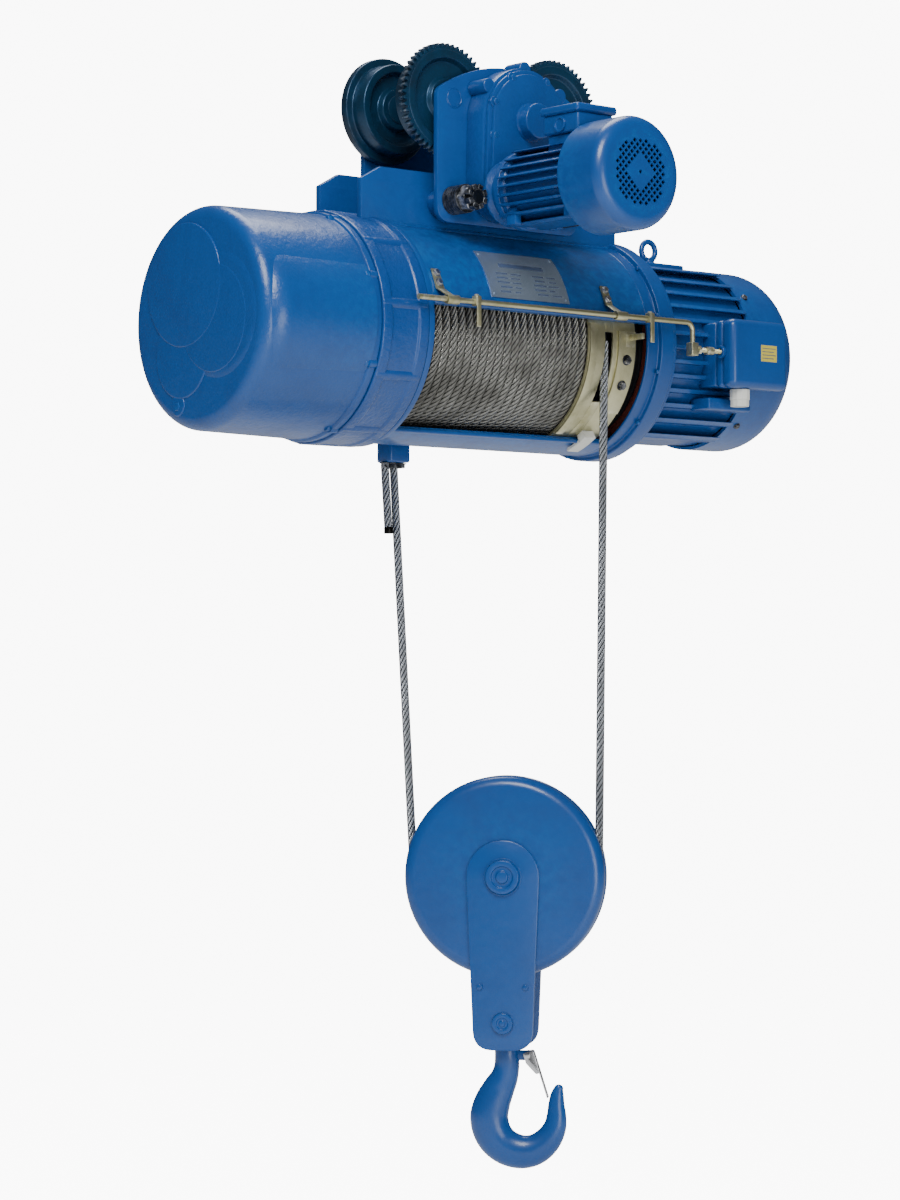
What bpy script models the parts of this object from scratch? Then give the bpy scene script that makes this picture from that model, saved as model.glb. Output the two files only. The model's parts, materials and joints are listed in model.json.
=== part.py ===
"""Electric wire rope hoist on a monorail trolley, built as separate parts.

Run with: blender --background --python part.py

Units are metres, +Z is up. X runs along the drum and the beam, -Y is the
front with the drum window and the trolley drive. The origin is midway between
the four wheels, at the level where their treads meet the beam's flange.
"""

import math

import bmesh
import bpy
from mathutils import Vector

# ---------------------------------------------------------------- clearances
TOUCH = 0.0003          # gap between pieces that rest on or in each other
RUN_FIT = 0.0006        # gap round a shaft that turns in a bore
DRUM_FACETS = 32        # facets round the shells on the drum's axis
SEGMENTS = 20           # facets round other large pieces
SMALL_SEGMENTS = 12     # facets round small pieces

# ------------------------------------------------------------------- trolley
WHEEL_BASE = 0.210      # between the two axles of one side
TREAD_RADIUS = 0.067
TREAD_WIDTH = 0.026
WHEEL_FLANGE_RADIUS = 0.079
WHEEL_FLANGE_WIDTH = 0.014
WHEEL_SIDE_GAP = 0.004  # wheel to side plate
GEAR_MODULE = 0.003
WHEEL_TEETH = 53
PINION_TEETH = 20
AXLE_RADIUS = 0.013
WHEEL_HUB_RADIUS = 0.034
PINION_SHAFT = 0.015
SIDE_PLATE_HALF_SPAN = 0.090   # centre of the trolley to a plate's outer face
SIDE_PLATE_THICKNESS = 0.010
SIDE_PLATE_HALF_LENGTH = 0.136
SIDE_PLATE_BOTTOM = -0.115     # Z, below the tread level
SIDE_PLATE_SHOULDER = 0.078
SIDE_PLATE_TOP = 0.122
SIDE_PLATE_CORNER = 0.022
SIDE_PLATE_EASE = 0.006        # corner under the shoulder
AXLE_TIP = 0.001               # axle beyond the side plate's outer face
AXLE_LENGTH = 0.0560
RIM_WIDTH_CUT = 0.0015         # gear rim narrower than the wheel's flange

# ------------------------------------------------------- tie bolts and plates
HOUSING_DROP = 0.112           # tread level down to the housing's top
TIE_BOLT_RADIUS = 0.012
TIE_BOLT_SPREAD = 0.107        # X of each tie bolt
TIE_BOLT_Z = -0.083
TIE_BOLT_HALF_LENGTH = 0.152
NUT_RADIUS = 0.0195
NUT_HEIGHT = 0.026
TIE_BOLT_TIP = 0.004
CASTLE_WALL = 0.004            # castle part of the nut beyond the bolt
CASTLE_SHARE = 0.66            # of the nut's height below the castle part
WASHER_LIP = 0.001
HANGER_HALF_SPAN = 0.053       # centre to a hanging plate's outer face
HANGER_THICKNESS = 0.010
HANGER_HALF_LENGTH = 0.248
HANGER_TOP = -0.039
HANGER_CHAMFER_X = 0.036
HANGER_CHAMFER_Z = 0.020

# --------------------------------------------------------------- drum housing
HOUSING_RADIUS = 0.161
HOUSING_WALL = 0.005
HOUSING_LEFT = -0.214
HOUSING_RIGHT = 0.236
RIGHT_RING_RISE = 0.0075       # beyond the housing
RIGHT_RING_WIDTH = 0.026
LEFT_LIP_RISE = 0.006
LEFT_LIP_WIDTH = 0.010
WINDOW_LEFT = -0.206
WINDOW_RIGHT = 0.214
WINDOW_TOP_ANGLE = 10.0        # degrees above the front
WINDOW_BOTTOM_ANGLE = -64.0
LEDGE_DEPTH = 0.010
LEDGE_HEIGHT = 0.014
LEDGE_SINK = 0.002
NAMEPLATE_X = -0.013
NAMEPLATE_LENGTH = 0.150
NAMEPLATE_THICKNESS = 0.0012
NAMEPLATE_ANGLES = (16.5, 46.0)

# ------------------------------------------------------------- drum and ropes
ROPE_DIAMETER = 0.013
DRUM_GROOVE_RADIUS = 0.137     # to the bottom of the rope's groove
DRUM_WALL = 0.010
DRUM_LEFT = -0.211
DRUM_RIGHT = 0.228
DRUM_HUB_RADIUS = 0.038
DRUM_HUB_LENGTH = 0.016
DRUM_WEB = 0.012               # end walls
WRAPS_LEFT = -0.204
WRAPS_RIGHT = 0.1335

# ------------------------------------------------------------------- gearbox
GEARBOX_RISE = 0.008           # beyond the drum housing
GEARBOX_WALL = 0.013
GEARBOX_END_WALL = 0.011
GEARBOX_LEFT = -0.298
COVER_LEFT = -0.500
COVER_DROP = 0.011             # cover inside the gearbox ring's radius
COVER_DRAFT = 0.004            # growth of the cover's radius to its flange
COVER_WALL = 0.008
COVER_ROUND = 0.018
LOBE_CENTRE = -0.050           # Y of the bulge over the first gear
LOBE_RADIUS = 0.118
LOBE_ROUND = 0.045
FIRST_GEAR_RATIO = (14, 56)    # module 2 teeth: pinion, gear
SECOND_GEAR_RATIO = (13, 57)
THIRD_GEAR_RATIO = (15, 70)
INNER_MODULE = 0.002
STAGE_X = (-0.440, -0.385, -0.330)
STAGE_WIDTH = 0.030
STAGE_OVERHANG = 0.004         # pinion beyond its wheel
JOURNAL_RADIUS = 0.010
JOURNAL_LENGTH = 0.014
BACKLASH = 0.0004
SHAFT_RADIUS = 0.012
SHAFT_LEFT = -0.470
SHAFT_RIGHT = 0.500
SHAFT_GAP = 0.004              # drum hubs round the drive shaft
OUTPUT_GEAR_LEFT = -0.346
OUTPUT_GEAR_RIGHT = -0.314

# --------------------------------------------------------------- hoist motor
MOTOR_RIGHT = 0.452
MOTOR_CORE_RADIUS = 0.127
MOTOR_FIN_RADIUS = 0.146
MOTOR_BORE = 0.112
MOTOR_FIN_PITCH = 0.0215
MOTOR_FIN_THICKNESS = 0.007
MOTOR_END = 0.568
MOTOR_COVER_RADIUS = 0.141
MOTOR_COVER_WALL = 0.004
MOTOR_COVER_ROUND = 0.050
ROTOR_LEFT = 0.288
ROTOR_RIGHT = 0.426
ROTOR_LARGE = 0.086
ROTOR_SMALL = 0.074
ROTOR_AIR_GAP = 0.0015
STATOR_LEFT = 0.282
STATOR_RIGHT = 0.432
SHIELD_LEFT = 0.2465
SHIELD_RIGHT = 0.2570
SHIELD_WEB_LEFT = 0.2480
COLLAR_STEP = 0.004
BRAKE_RADIUS = 0.112
BRAKE_FLARE = 0.006
BRAKE_X = (0.458, 0.466, 0.474, 0.492)
BRAKE_HUB_RADIUS = 0.030
BOSS_HALF_WIDTH = 0.018
BOSS_REACH = (0.022, 0.060)    # left and right of the eye bolt
EYE_BOLT_X = 0.367
EYE_RING_RADIUS = 0.0145
EYE_RING_WIRE = 0.0045
EYE_RING_RISE = 0.0195         # boss to the ring's centre
BOX_LEFT = 0.352
BOX_RIGHT = 0.473
BOX_TOP = 0.044                # above the drum's axis
BOX_BOTTOM = -0.062
BOX_AHEAD = 0.024              # rod's centre to the box's front
BOX_BEHIND = 0.017             # rod's centre to the motor's pad
BOX_WALL = 0.004
BOX_EDGE = 0.010
PLUNGER_BORE = 0.0048
GLAND_X = 0.388
GLAND_AHEAD = 0.002
GLAND_RADIUS = 0.0155
GLAND_LENGTH = 0.026
GLAND_WALL = 0.006

# ---------------------------------------------------------------- limit gear
ROD_RADIUS = 0.004
ROD_GAP = 0.017                # drum housing to the rod's centre
ROD_ABOVE_WINDOW = 0.0050426   # the window's top edge to the rod's centre
ROD_RISE = HOUSING_RADIUS * math.sin(math.radians(WINDOW_TOP_ANGLE)) + ROD_ABOVE_WINDOW
ROD_LEFT = -0.244
ROD_RIGHT = 0.290
ROD_DROP = 0.040
ROD_BEND = 0.010
FORK_HALF = 0.007
FORK_HALF_HEIGHT = 0.010
PLUNGER_RADIUS = 0.0035
PLUNGER_REACH = 0.022          # into the switch box
BRACKET_X = (-0.186, 0.139)
BRACKET_WIDTH = 0.014
BRACKET_THICKNESS = 0.0025
BRACKET_TOP_ANGLE = 29.0
BRACKET_FOOT_ANGLE = 18.0
SLEEVE_RADIUS = 0.0068
SLEEVE_LENGTH = 0.022
SLEEVE_SHIFT = 0.004           # sleeve to the right of its bracket
STOP_X = (-0.137, 0.202)
STOP_WIDTH = 0.009
STOP_DEPTH = 0.013
STOP_ABOVE = 0.009
STOP_BELOW = 0.036
GUIDE_LEFT = 0.101
GUIDE_RIGHT = 0.194
GUIDE_INNER = 0.1514
GUIDE_OUTER = 0.1555
GUIDE_SLOT_X = 0.141
GUIDE_SLOT_WIDTH = 0.0165
GUIDE_COLLAR = 0.016
STRIKER_X = 0.186
STRIKER_WIDTH = 0.006
GUIDE_SIDE_WIDTH = 0.026
TONGUE_X = 0.161
TONGUE_WIDTH = 0.022
TONGUE_RISE = 0.008            # beyond the drum housing

# --------------------------------------------------------------- trolley drive
REDUCER_CENTRE = (0.0, 0.0359)         # X, Z of the drive pinion
REDUCER_RADIUS = 0.081
REDUCER_COVER_RADIUS = 0.077
REDUCER_LOWER = (-0.021, -0.048)       # X, Z of its lower lobe
REDUCER_LOWER_RADIUS = 0.062
REDUCER_BACK = -0.0903
REDUCER_SPLIT = -0.128
REDUCER_FRONT = -0.140
REDUCER_WALL = 0.006
REDUCER_LUGS = (35.0, 145.0, 215.0)    # degrees round the drive pinion
LUG_RADIUS = 0.011
LUG_RISE = 0.004
PINION_BORE_GAP = 0.0008
COVER_BOSS_RADIUS = 0.027
COVER_BOSS_LENGTH = 0.020
COVER_BORE = 0.0180
DRIVE_X = -0.042                       # trolley motor's axis
DRIVE_Z = -0.073
DRIVE_FLANGE_RADIUS = 0.057
DRIVE_FLANGE_BACK = -0.168
DRIVE_FLANGE_FRONT = -0.180
DRIVE_BODY_RADIUS = 0.052
DRIVE_FIN_RADIUS = 0.062
DRIVE_FIN_PITCH = 0.0135
DRIVE_FIN_THICKNESS = 0.004
DRIVE_BODY_WALL = 0.006
DRIVE_BODY_FRONT = -0.352
FAN_COVER_BACK = -0.334
FAN_COVER_FRONT = -0.418
FAN_COVER_RADIUS = 0.080
FAN_COVER_WALL = 0.0025
FAN_COVER_ROUND = 0.018
GRILLE_RADIUS = 0.036
GRILLE_HALF = (0.011, 0.006)
TERMINAL_BACK = -0.248
TERMINAL_FRONT = -0.330
TERMINAL_WIDTH = 0.078
TERMINAL_TOP = 0.033
TERMINAL_LID = 0.013
STAGE_MODULE = 0.00225
MOTOR_PINION_TEETH = 12
MIDDLE_GEAR_TEETH = 40
MIDDLE_PINION_TEETH = 14
OUTPUT_GEAR_TEETH = 46

# ----------------------------------------------------------------- hook block
BLOCK_TURN = -48.5                     # degrees about Z
BLOCK_X = 0.0436
BLOCK_Y = -0.0332
BLOCK_DROP = 0.795                     # drum's axis down to the sheave's axis
SHEAVE_PITCH_RADIUS = 0.138
SHEAVE_RIM_RADIUS = 0.144
SHEAVE_HALF_RIM = 0.017
SHEAVE_WEB = 0.006
SHEAVE_HUB_RADIUS = 0.036
SHEAVE_HUB_HALF = 0.0285
COVER_DISC_RADIUS = 0.149
COVER_DISC_FACE = 0.033
COVER_DISC_GAP = 0.008                 # middle plane to each cover's rim
COVER_DISC_WALL = 0.0025
COVER_DISC_ROUND = 0.014
STRAP_INNER = 0.0333
STRAP_THICKNESS = 0.006
STRAP_TOP_RADIUS = 0.054
STRAP_FOOT_HALF = 0.040
STRAP_FOOT_CORNER = 0.030
PIN_RADIUS = 0.020
PIN_HEAD_RADIUS = 0.024
PIN_HEAD = 0.009
PIN_RECESS = 0.016
PIN_TO_PIN = 0.215
TRUNNION_RADIUS = 0.012
TRUNNION_CAP_RADIUS = 0.016
CROSSHEAD_HALF_HEIGHT = 0.022
CROSSHEAD_HALF_WIDTH = 0.034
TIE_ROD_SPREAD = 0.034
TIE_ROD_DROP = 0.162
TIE_ROD_RADIUS = 0.0065
SHANK_RADIUS = 0.0180
STRAP_FOOT = 0.040                     # below the crosshead's pin
TIE_ROD_NECK = 0.00403
HOOK_FLATTEN = 0.78
LATCH_PIVOT = (0.033, -0.050)          # in the block's plane, from the lower pin
LATCH_TIP = (0.0535, -0.115)

DEAD_END_X = -0.069
DEAD_END_Y = 0.0935
ANCHOR_BELOW = 0.011                   # housing's bottom down to the anchor pin
ANCHOR_HALF_X = 0.020
ANCHOR_HALF_Y = 0.018
TAIL_RUN = (0.004, -0.004, -0.100)

# ----------------------------------------------------------------- derived
DRUM_Z = -HOUSING_DROP - HOUSING_RADIUS
RIGHT_RING_RADIUS = HOUSING_RADIUS + RIGHT_RING_RISE
GEARBOX_RADIUS = HOUSING_RADIUS + GEARBOX_RISE
COVER_RADIUS = GEARBOX_RADIUS - COVER_DROP
MOTOR_LEFT = HOUSING_RIGHT + RIGHT_RING_WIDTH + TOUCH
ROD_Y = -HOUSING_RADIUS - ROD_GAP
BOX_FRONT = ROD_Y - BOX_AHEAD
BOX_SPLIT = ROD_Y + BOX_BEHIND
GLAND_Y = ROD_Y - GLAND_AHEAD
WHEEL_Z = TREAD_RADIUS
ROPE_RADIUS = ROPE_DIAMETER / 2
ROPE_PITCH_RADIUS = DRUM_GROOVE_RADIUS + ROPE_RADIUS
SIDE_PLATE_INNER = SIDE_PLATE_HALF_SPAN - SIDE_PLATE_THICKNESS
HANGER_INNER = HANGER_HALF_SPAN - HANGER_THICKNESS
WHEEL_OUTER_FACE = SIDE_PLATE_INNER - WHEEL_SIDE_GAP
ROD_Z = DRUM_Z + ROD_RISE
SHEAVE_Z = DRUM_Z - BLOCK_DROP
INNER_PITCH = INNER_MODULE / 2

BLUE = (0.010, 0.130, 0.420)
DARK_BLUE = (0.008, 0.070, 0.230)
GREASY = (0.020, 0.030, 0.045)
STEEL = (0.420, 0.430, 0.430)
ROPE_STEEL = (0.260, 0.270, 0.260)
ZINC = (0.560, 0.520, 0.330)
BLACK = (0.020, 0.020, 0.022)
PALE = (0.700, 0.710, 0.640)
COPPER = (0.480, 0.230, 0.120)
SILVER = (0.620, 0.640, 0.680)

TURN_TO = {
    "+X": (0.0, math.pi / 2, 0.0),
    "+Y": (-math.pi / 2, 0.0, 0.0),
    "-Y": (math.pi / 2, 0.0, 0.0),
    "+Z": (0.0, 0.0, 0.0),
}
FLAT_TO = {
    "XZ": (math.pi / 2, 0.0, 0.0),
    "YZ": (math.pi / 2, 0.0, math.pi / 2),
}


# ------------------------------------------------------------------- helpers
def clear_scene():
    """Remove every object, so that a second run starts empty."""
    for obj in list(bpy.data.objects):
        bpy.data.objects.remove(obj, do_unlink=True)


def new_collection(name):
    """Return the named collection, linked to the scene."""
    found = bpy.data.collections.get(name)
    if found is None:
        found = bpy.data.collections.new(name)
        bpy.context.scene.collection.children.link(found)
    return found


def paint(name, colour, roughness, metallic):
    """Return a plain Principled material."""
    made = bpy.data.materials.new(name)
    made.use_nodes = True
    shader = made.node_tree.nodes["Principled BSDF"]
    shader.inputs["Base Color"].default_value = (*colour, 1.0)
    shader.inputs["Roughness"].default_value = roughness
    shader.inputs["Metallic"].default_value = metallic
    return made


def empty_at(name, at, turn=(0.0, 0.0, 0.0)):
    """Return an empty that stands on a joint's axis."""
    marker = bpy.data.objects.new(name, None)
    marker.location = at
    marker.rotation_euler = turn
    marker.empty_display_size = 0.05
    PARTS.objects.link(marker)
    return marker


def finish(obj, finish_of, parent=None):
    """Give a part its own material and its parent."""
    colour, roughness, metallic = finish_of
    obj.data.materials.clear()
    obj.data.materials.append(paint(obj.name + "_finish", colour, roughness, metallic))
    if parent is not None:
        obj.parent = parent
    return obj


def link_mesh(name, mesh, at, turn, collection):
    """Make an object of a mesh and put it in a collection."""
    obj = bpy.data.objects.new(name, mesh)
    obj.location = at
    obj.rotation_euler = turn
    collection.objects.link(obj)
    return obj


def smooth(mesh, angle=35.0):
    """Shade round faces smooth and keep the sharp edges."""
    mesh.shade_smooth()
    mesh.set_sharp_from_angle(angle=math.radians(angle))


def box(name, low, high, bevel=0.0, collection=None):
    """Return a block between two corners."""
    low, high = Vector(low), Vector(high)
    mesh = bpy.data.meshes.new(name)
    shape = bmesh.new()
    bmesh.ops.create_cube(shape, size=1.0)
    bmesh.ops.scale(shape, vec=high - low, verts=shape.verts)
    shape.to_mesh(mesh)
    shape.free()
    obj = link_mesh(name, mesh, (low + high) / 2, (0, 0, 0), collection or PARTS)
    if bevel > 0:
        edge = obj.modifiers.new("edge", "BEVEL")
        edge.width = bevel
        edge.segments = 2
    return obj


def rod(name, radius, start, end, segments=SMALL_SEGMENTS, collection=None):
    """Return a cylinder between two points."""
    start, end = Vector(start), Vector(end)
    run = end - start
    mesh = bpy.data.meshes.new(name)
    shape = bmesh.new()
    bmesh.ops.create_cone(shape, cap_ends=True, segments=segments,
                          radius1=radius, radius2=radius, depth=run.length)
    shape.to_mesh(mesh)
    shape.free()
    smooth(mesh)
    turn = Vector((0, 0, 1)).rotation_difference(run.normalized()).to_euler()
    return link_mesh(name, mesh, (start + end) / 2, turn, collection or PARTS)


def turned(name, profile, at, toward, segments=SEGMENTS, collection=None, closed=True):
    """Return a turned piece.

    The profile is a list of (distance along the axis, radius). A closed one is
    a ring's section, an open one runs from the axis back to the axis.
    """
    points = [(radius, along) for along, radius in profile]
    if closed:
        area = sum(a[0] * b[1] - b[0] * a[1]
                   for a, b in zip(points, points[1:] + points[:1]))
        if area > 0:
            points.reverse()
    elif points[0][1] < points[-1][1]:
        points.reverse()
    mesh = bpy.data.meshes.new(name)
    edges = [(i, i + 1) for i in range(len(points) - 1)]
    if closed:
        edges.append((len(points) - 1, 0))
    mesh.from_pydata([(r, 0.0, z) for r, z in points], edges, [])
    obj = link_mesh(name, mesh, at, TURN_TO[toward], collection or PARTS)
    turn = obj.modifiers.new("turn", "SCREW")
    turn.axis = "Z"
    turn.steps = segments
    turn.render_steps = segments
    turn.use_merge_vertices = True
    turn.merge_threshold = 0.00001
    turn.use_smooth_shade = False
    return obj


def bake(obj):
    """Replace an object's mesh by its evaluated mesh, without modifiers."""
    bpy.context.view_layer.update()
    graph = bpy.context.evaluated_depsgraph_get()
    mesh = bpy.data.meshes.new_from_object(obj.evaluated_get(graph))
    shape = bmesh.new()
    shape.from_mesh(mesh)
    bmesh.ops.remove_doubles(shape, verts=shape.verts, dist=0.00001)
    shape.to_mesh(mesh)
    shape.free()
    obj.modifiers.clear()
    obj.data = mesh
    return obj


def mesh_of_curve(curve_obj, name, collection):
    """Turn a curve object into a mesh object with welded caps."""
    bpy.context.view_layer.update()
    graph = bpy.context.evaluated_depsgraph_get()
    mesh = bpy.data.meshes.new_from_object(curve_obj.evaluated_get(graph))
    mesh.name = name
    shape = bmesh.new()
    shape.from_mesh(mesh)
    bmesh.ops.remove_doubles(shape, verts=shape.verts, dist=0.00002)
    bmesh.ops.recalc_face_normals(shape, faces=shape.faces)
    shape.to_mesh(mesh)
    shape.free()
    obj = bpy.data.objects.new(name, mesh)
    obj.matrix_world = curve_obj.matrix_world.copy()
    collection.objects.link(obj)
    bpy.data.objects.remove(curve_obj, do_unlink=True)
    return obj


def plate(name, outlines, thickness, plane, at, collection=None):
    """Return a flat plate: the first outline is its edge, the rest are holes.

    The outlines lie in the named plane, `at` is the middle of its thickness.
    """
    collection = collection or PARTS
    data = bpy.data.curves.new(name + "_outline", "CURVE")
    data.dimensions = "2D"
    data.fill_mode = "BOTH"
    data.extrude = thickness / 2
    for outline in outlines:
        spline = data.splines.new("POLY")
        spline.points.add(len(outline) - 1)
        for point, (u, v) in zip(spline.points, outline):
            point.co = (u, v, 0.0, 1.0)
        spline.use_cyclic_u = True
    curve_obj = bpy.data.objects.new(name + "_outline", data)
    curve_obj.location = at
    curve_obj.rotation_euler = FLAT_TO[plane]
    collection.objects.link(curve_obj)
    return mesh_of_curve(curve_obj, name, collection)


def tube(name, points, radius, sides=2, radii=None, collection=None):
    """Return a round bar along a list of points."""
    collection = collection or PARTS
    data = bpy.data.curves.new(name + "_path", "CURVE")
    data.dimensions = "3D"
    data.bevel_depth = radius
    data.bevel_resolution = sides
    data.use_fill_caps = True
    spline = data.splines.new("POLY")
    spline.points.add(len(points) - 1)
    for index, place in enumerate(points):
        spline.points[index].co = (*place, 1.0)
        if radii is not None:
            spline.points[index].radius = radii[index] / radius
    curve_obj = bpy.data.objects.new(name + "_path", data)
    collection.objects.link(curve_obj)
    return mesh_of_curve(curve_obj, name, collection)


def combine(obj, others, operation, solver="EXACT"):
    """Cut cutters out of a piece, or join shapes onto it."""
    for number, other in enumerate(others):
        step = obj.modifiers.new(operation.lower() + str(number), "BOOLEAN")
        step.operation = operation
        step.solver = solver
        step.object = other
        other.hide_render = True
        other.display_type = "WIRE"
    bake(obj)
    return obj


def arc(centre, radius, start, end, steps):
    """Return points on a circle from one angle to another, in degrees."""
    return [(centre[0] + radius * math.cos(math.radians(start + (end - start) * i / steps)),
             centre[1] + radius * math.sin(math.radians(start + (end - start) * i / steps)))
            for i in range(steps + 1)]


def bore_radius(shaft_radius, facets=SMALL_SEGMENTS, gap=TOUCH):
    """Return a faceted bore's radius, so that its flats clear the shaft."""
    return (shaft_radius + gap) / math.cos(math.pi / facets)


def circle(centre, radius, steps=SMALL_SEGMENTS):
    """Return the points of a full circle."""
    return arc(centre, radius, 0.0, 360.0 * (steps - 1) / steps, steps - 1)


def rounded_end(near, far, radius, size, steps=5):
    """Return the (along, radius) points of a turned edge rounded at `far`."""
    sign = 1.0 if far > near else -1.0
    return [(far - sign * size * (1 - math.sin(math.pi / 2 * i / steps)),
             radius - size * (1 - math.cos(math.pi / 2 * i / steps)))
            for i in range(steps + 1)]


def gear_outline(centre, teeth, module, phase=0.0):
    """Return the outline of a spur gear with straight-sided teeth."""
    pitch = teeth * module / 2
    tip, root = pitch + module * 0.95, pitch - module * 1.15
    step = 2 * math.pi / teeth
    points = []
    for tooth in range(teeth):
        middle = phase + tooth * step
        for share, radius in ((-0.30, root), (-0.13, tip), (0.13, tip), (0.30, root)):
            angle = middle + share * step
            points.append((centre[0] + radius * math.cos(angle),
                           centre[1] + radius * math.sin(angle)))
    return points


def hull_of_circles(first, first_radius, second, second_radius, steps=8):
    """Return the outline round two circles and their common tangents."""
    run = Vector(second) - Vector(first)
    heading = math.degrees(math.atan2(run.y, run.x))
    spread = math.degrees(math.acos((first_radius - second_radius) / run.length))
    return (arc(first, first_radius, heading + spread, heading + 360 - spread, steps + 6)
            + arc(second, second_radius, heading - spread, heading + spread, steps))


def sector_outline(inner, outer, low, high, steps):
    """Return a ring sector seen along X, as (Y, Z) with angles from the front."""
    outside = [(-outer * math.cos(math.radians(a)), outer * math.sin(math.radians(a)))
               for a in [low + (high - low) * i / steps for i in range(steps + 1)]]
    inside = [(-inner * math.cos(math.radians(a)), inner * math.sin(math.radians(a)))
              for a in [high - (high - low) * i / steps for i in range(steps + 1)]]
    return outside + inside


PAINTED = (BLUE, 0.38, 0.0)
DARK = (DARK_BLUE, 0.45, 0.0)
GREASED = (GREASY, 0.42, 0.6)
BRIGHT = (STEEL, 0.35, 0.9)
YELLOW_ZINC = (ZINC, 0.38, 0.85)
BLACKED = (BLACK, 0.45, 0.5)
ROPE = (ROPE_STEEL, 0.42, 0.8)


# ---------------------------------------------------------------- the trolley
def make_side_plates():
    """Two arched side plates with their bores for axles, pinion and tie bolts."""
    half, corner = SIDE_PLATE_HALF_LENGTH, SIDE_PLATE_CORNER
    rise = SIDE_PLATE_TOP - SIDE_PLATE_SHOULDER
    arch = (half ** 2 + rise ** 2) / (2 * rise)
    reach = math.degrees(math.asin((half - SIDE_PLATE_EASE) / arch))
    edge = (arc((-half + corner, SIDE_PLATE_BOTTOM + corner), corner, 180, 270, 4)
            + arc((half - corner, SIDE_PLATE_BOTTOM + corner), corner, 270, 360, 4)
            + [(half, SIDE_PLATE_SHOULDER - SIDE_PLATE_EASE)]
            + arc((0.0, SIDE_PLATE_TOP - arch), arch, 90 - reach, 90 + reach, 8)
            + [(-half, SIDE_PLATE_SHOULDER - SIDE_PLATE_EASE)])
    bores = [circle((side * WHEEL_BASE / 2, WHEEL_Z), bore_radius(AXLE_RADIUS))
             for side in (-1, 1)]
    bolts = [circle((side * TIE_BOLT_SPREAD, TIE_BOLT_Z), bore_radius(TIE_BOLT_RADIUS))
             for side in (-1, 1)]
    middle = (SIDE_PLATE_HALF_SPAN + SIDE_PLATE_INNER) / 2
    shaft_bore = circle(REDUCER_CENTRE, bore_radius(PINION_SHAFT, SMALL_SEGMENTS, PINION_BORE_GAP))
    for name, side in (("side_plate_front", -1), ("side_plate_rear", 1)):
        holes = bores + bolts + ([shaft_bore] if side < 0 else [])
        made = plate(name, [edge] + holes, SIDE_PLATE_THICKNESS, "XZ",
                     (0.0, side * middle, 0.0))
        finish(made, PAINTED)


def pinion_toward(side_x):
    """Return the angle from the drive pinion's centre to a wheel's centre."""
    return math.atan2(WHEEL_Z - REDUCER_CENTRE[1], side_x * WHEEL_BASE / 2 - REDUCER_CENTRE[0])


def wheel_phase(side_x):
    """Return the angle of a wheel's tooth, so that it meshes with the pinion.

    The pinion points a tooth at the left wheel; what it is off by at the right
    wheel is carried over to that wheel's gap.
    """
    step = 2 * math.pi / PINION_TEETH
    toward = pinion_toward(side_x)
    off = (pinion_toward(-1) - toward + step / 2) % step - step / 2
    gap = toward + math.pi - off * PINION_TEETH / WHEEL_TEETH
    return gap + math.pi / WHEEL_TEETH


def wheel_section(rim_radius):
    """Return a wheel's turned section, outer face at 0, tread inward."""
    width = WHEEL_FLANGE_WIDTH + TREAD_WIDTH
    bore = bore_radius(AXLE_RADIUS, SEGMENTS, RUN_FIT)
    return [(0.0, bore), (0.0, WHEEL_HUB_RADIUS), (0.006, WHEEL_HUB_RADIUS + 0.004),
            (0.006, TREAD_RADIUS - 0.010), (0.0, TREAD_RADIUS - 0.004),
            (0.0, rim_radius), (WHEEL_FLANGE_WIDTH, rim_radius),
            (WHEEL_FLANGE_WIDTH, TREAD_RADIUS + 0.0006),
            (width, TREAD_RADIUS), (width, TREAD_RADIUS - 0.012),
            (width - 0.010, WHEEL_HUB_RADIUS), (width, bore)]


def make_wheels():
    """Two geared front wheels, two plain rear wheels and their four axles."""
    for end, side_x in (("left", -1), ("right", 1)):
        x = side_x * WHEEL_BASE / 2
        axis = empty_at("axis_front_wheel_" + end, (x, -WHEEL_OUTER_FACE, WHEEL_Z))
        wheel = turned("front_wheel_" + end, wheel_section(TREAD_RADIUS + 0.004),
                       (0, 0, 0), "+Y", segments=SEGMENTS)
        bake(wheel)
        phase = wheel_phase(side_x)
        rim = [gear_outline((0.0, 0.0), WHEEL_TEETH, GEAR_MODULE, phase),
               circle((0.0, 0.0), TREAD_RADIUS - 0.001, SEGMENTS)]
        width = WHEEL_FLANGE_WIDTH - RIM_WIDTH_CUT
        teeth = plate("teeth_" + end, rim, width, "XZ", (0.0, width / 2 + 0.0002, 0.0), CUTTERS)
        teeth.parent = axis
        wheel.parent = axis
        combine(wheel, [teeth], "UNION")
        finish(wheel, GREASED, axis)
        axle = turned("front_axle_" + end,
                      [(0.0, 0.0), (0.0, AXLE_RADIUS), (AXLE_LENGTH, AXLE_RADIUS), (AXLE_LENGTH, 0.0)],
                      (x, -SIDE_PLATE_HALF_SPAN - AXLE_TIP, WHEEL_Z), "+Y",
                      segments=SMALL_SEGMENTS, closed=False)
        finish(axle, BRIGHT)
        axis = empty_at("axis_rear_wheel_" + end, (x, WHEEL_OUTER_FACE, WHEEL_Z))
        wheel = turned("rear_wheel_" + end, wheel_section(WHEEL_FLANGE_RADIUS),
                       (0, 0, 0), "-Y")
        finish(wheel, GREASED, axis)
        axle = turned("rear_axle_" + end,
                      [(0.0, 0.0), (0.0, AXLE_RADIUS), (AXLE_LENGTH, AXLE_RADIUS), (AXLE_LENGTH, 0.0)],
                      (x, SIDE_PLATE_HALF_SPAN + AXLE_TIP, WHEEL_Z), "-Y",
                      segments=SMALL_SEGMENTS, closed=False)
        finish(axle, BRIGHT)


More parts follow.
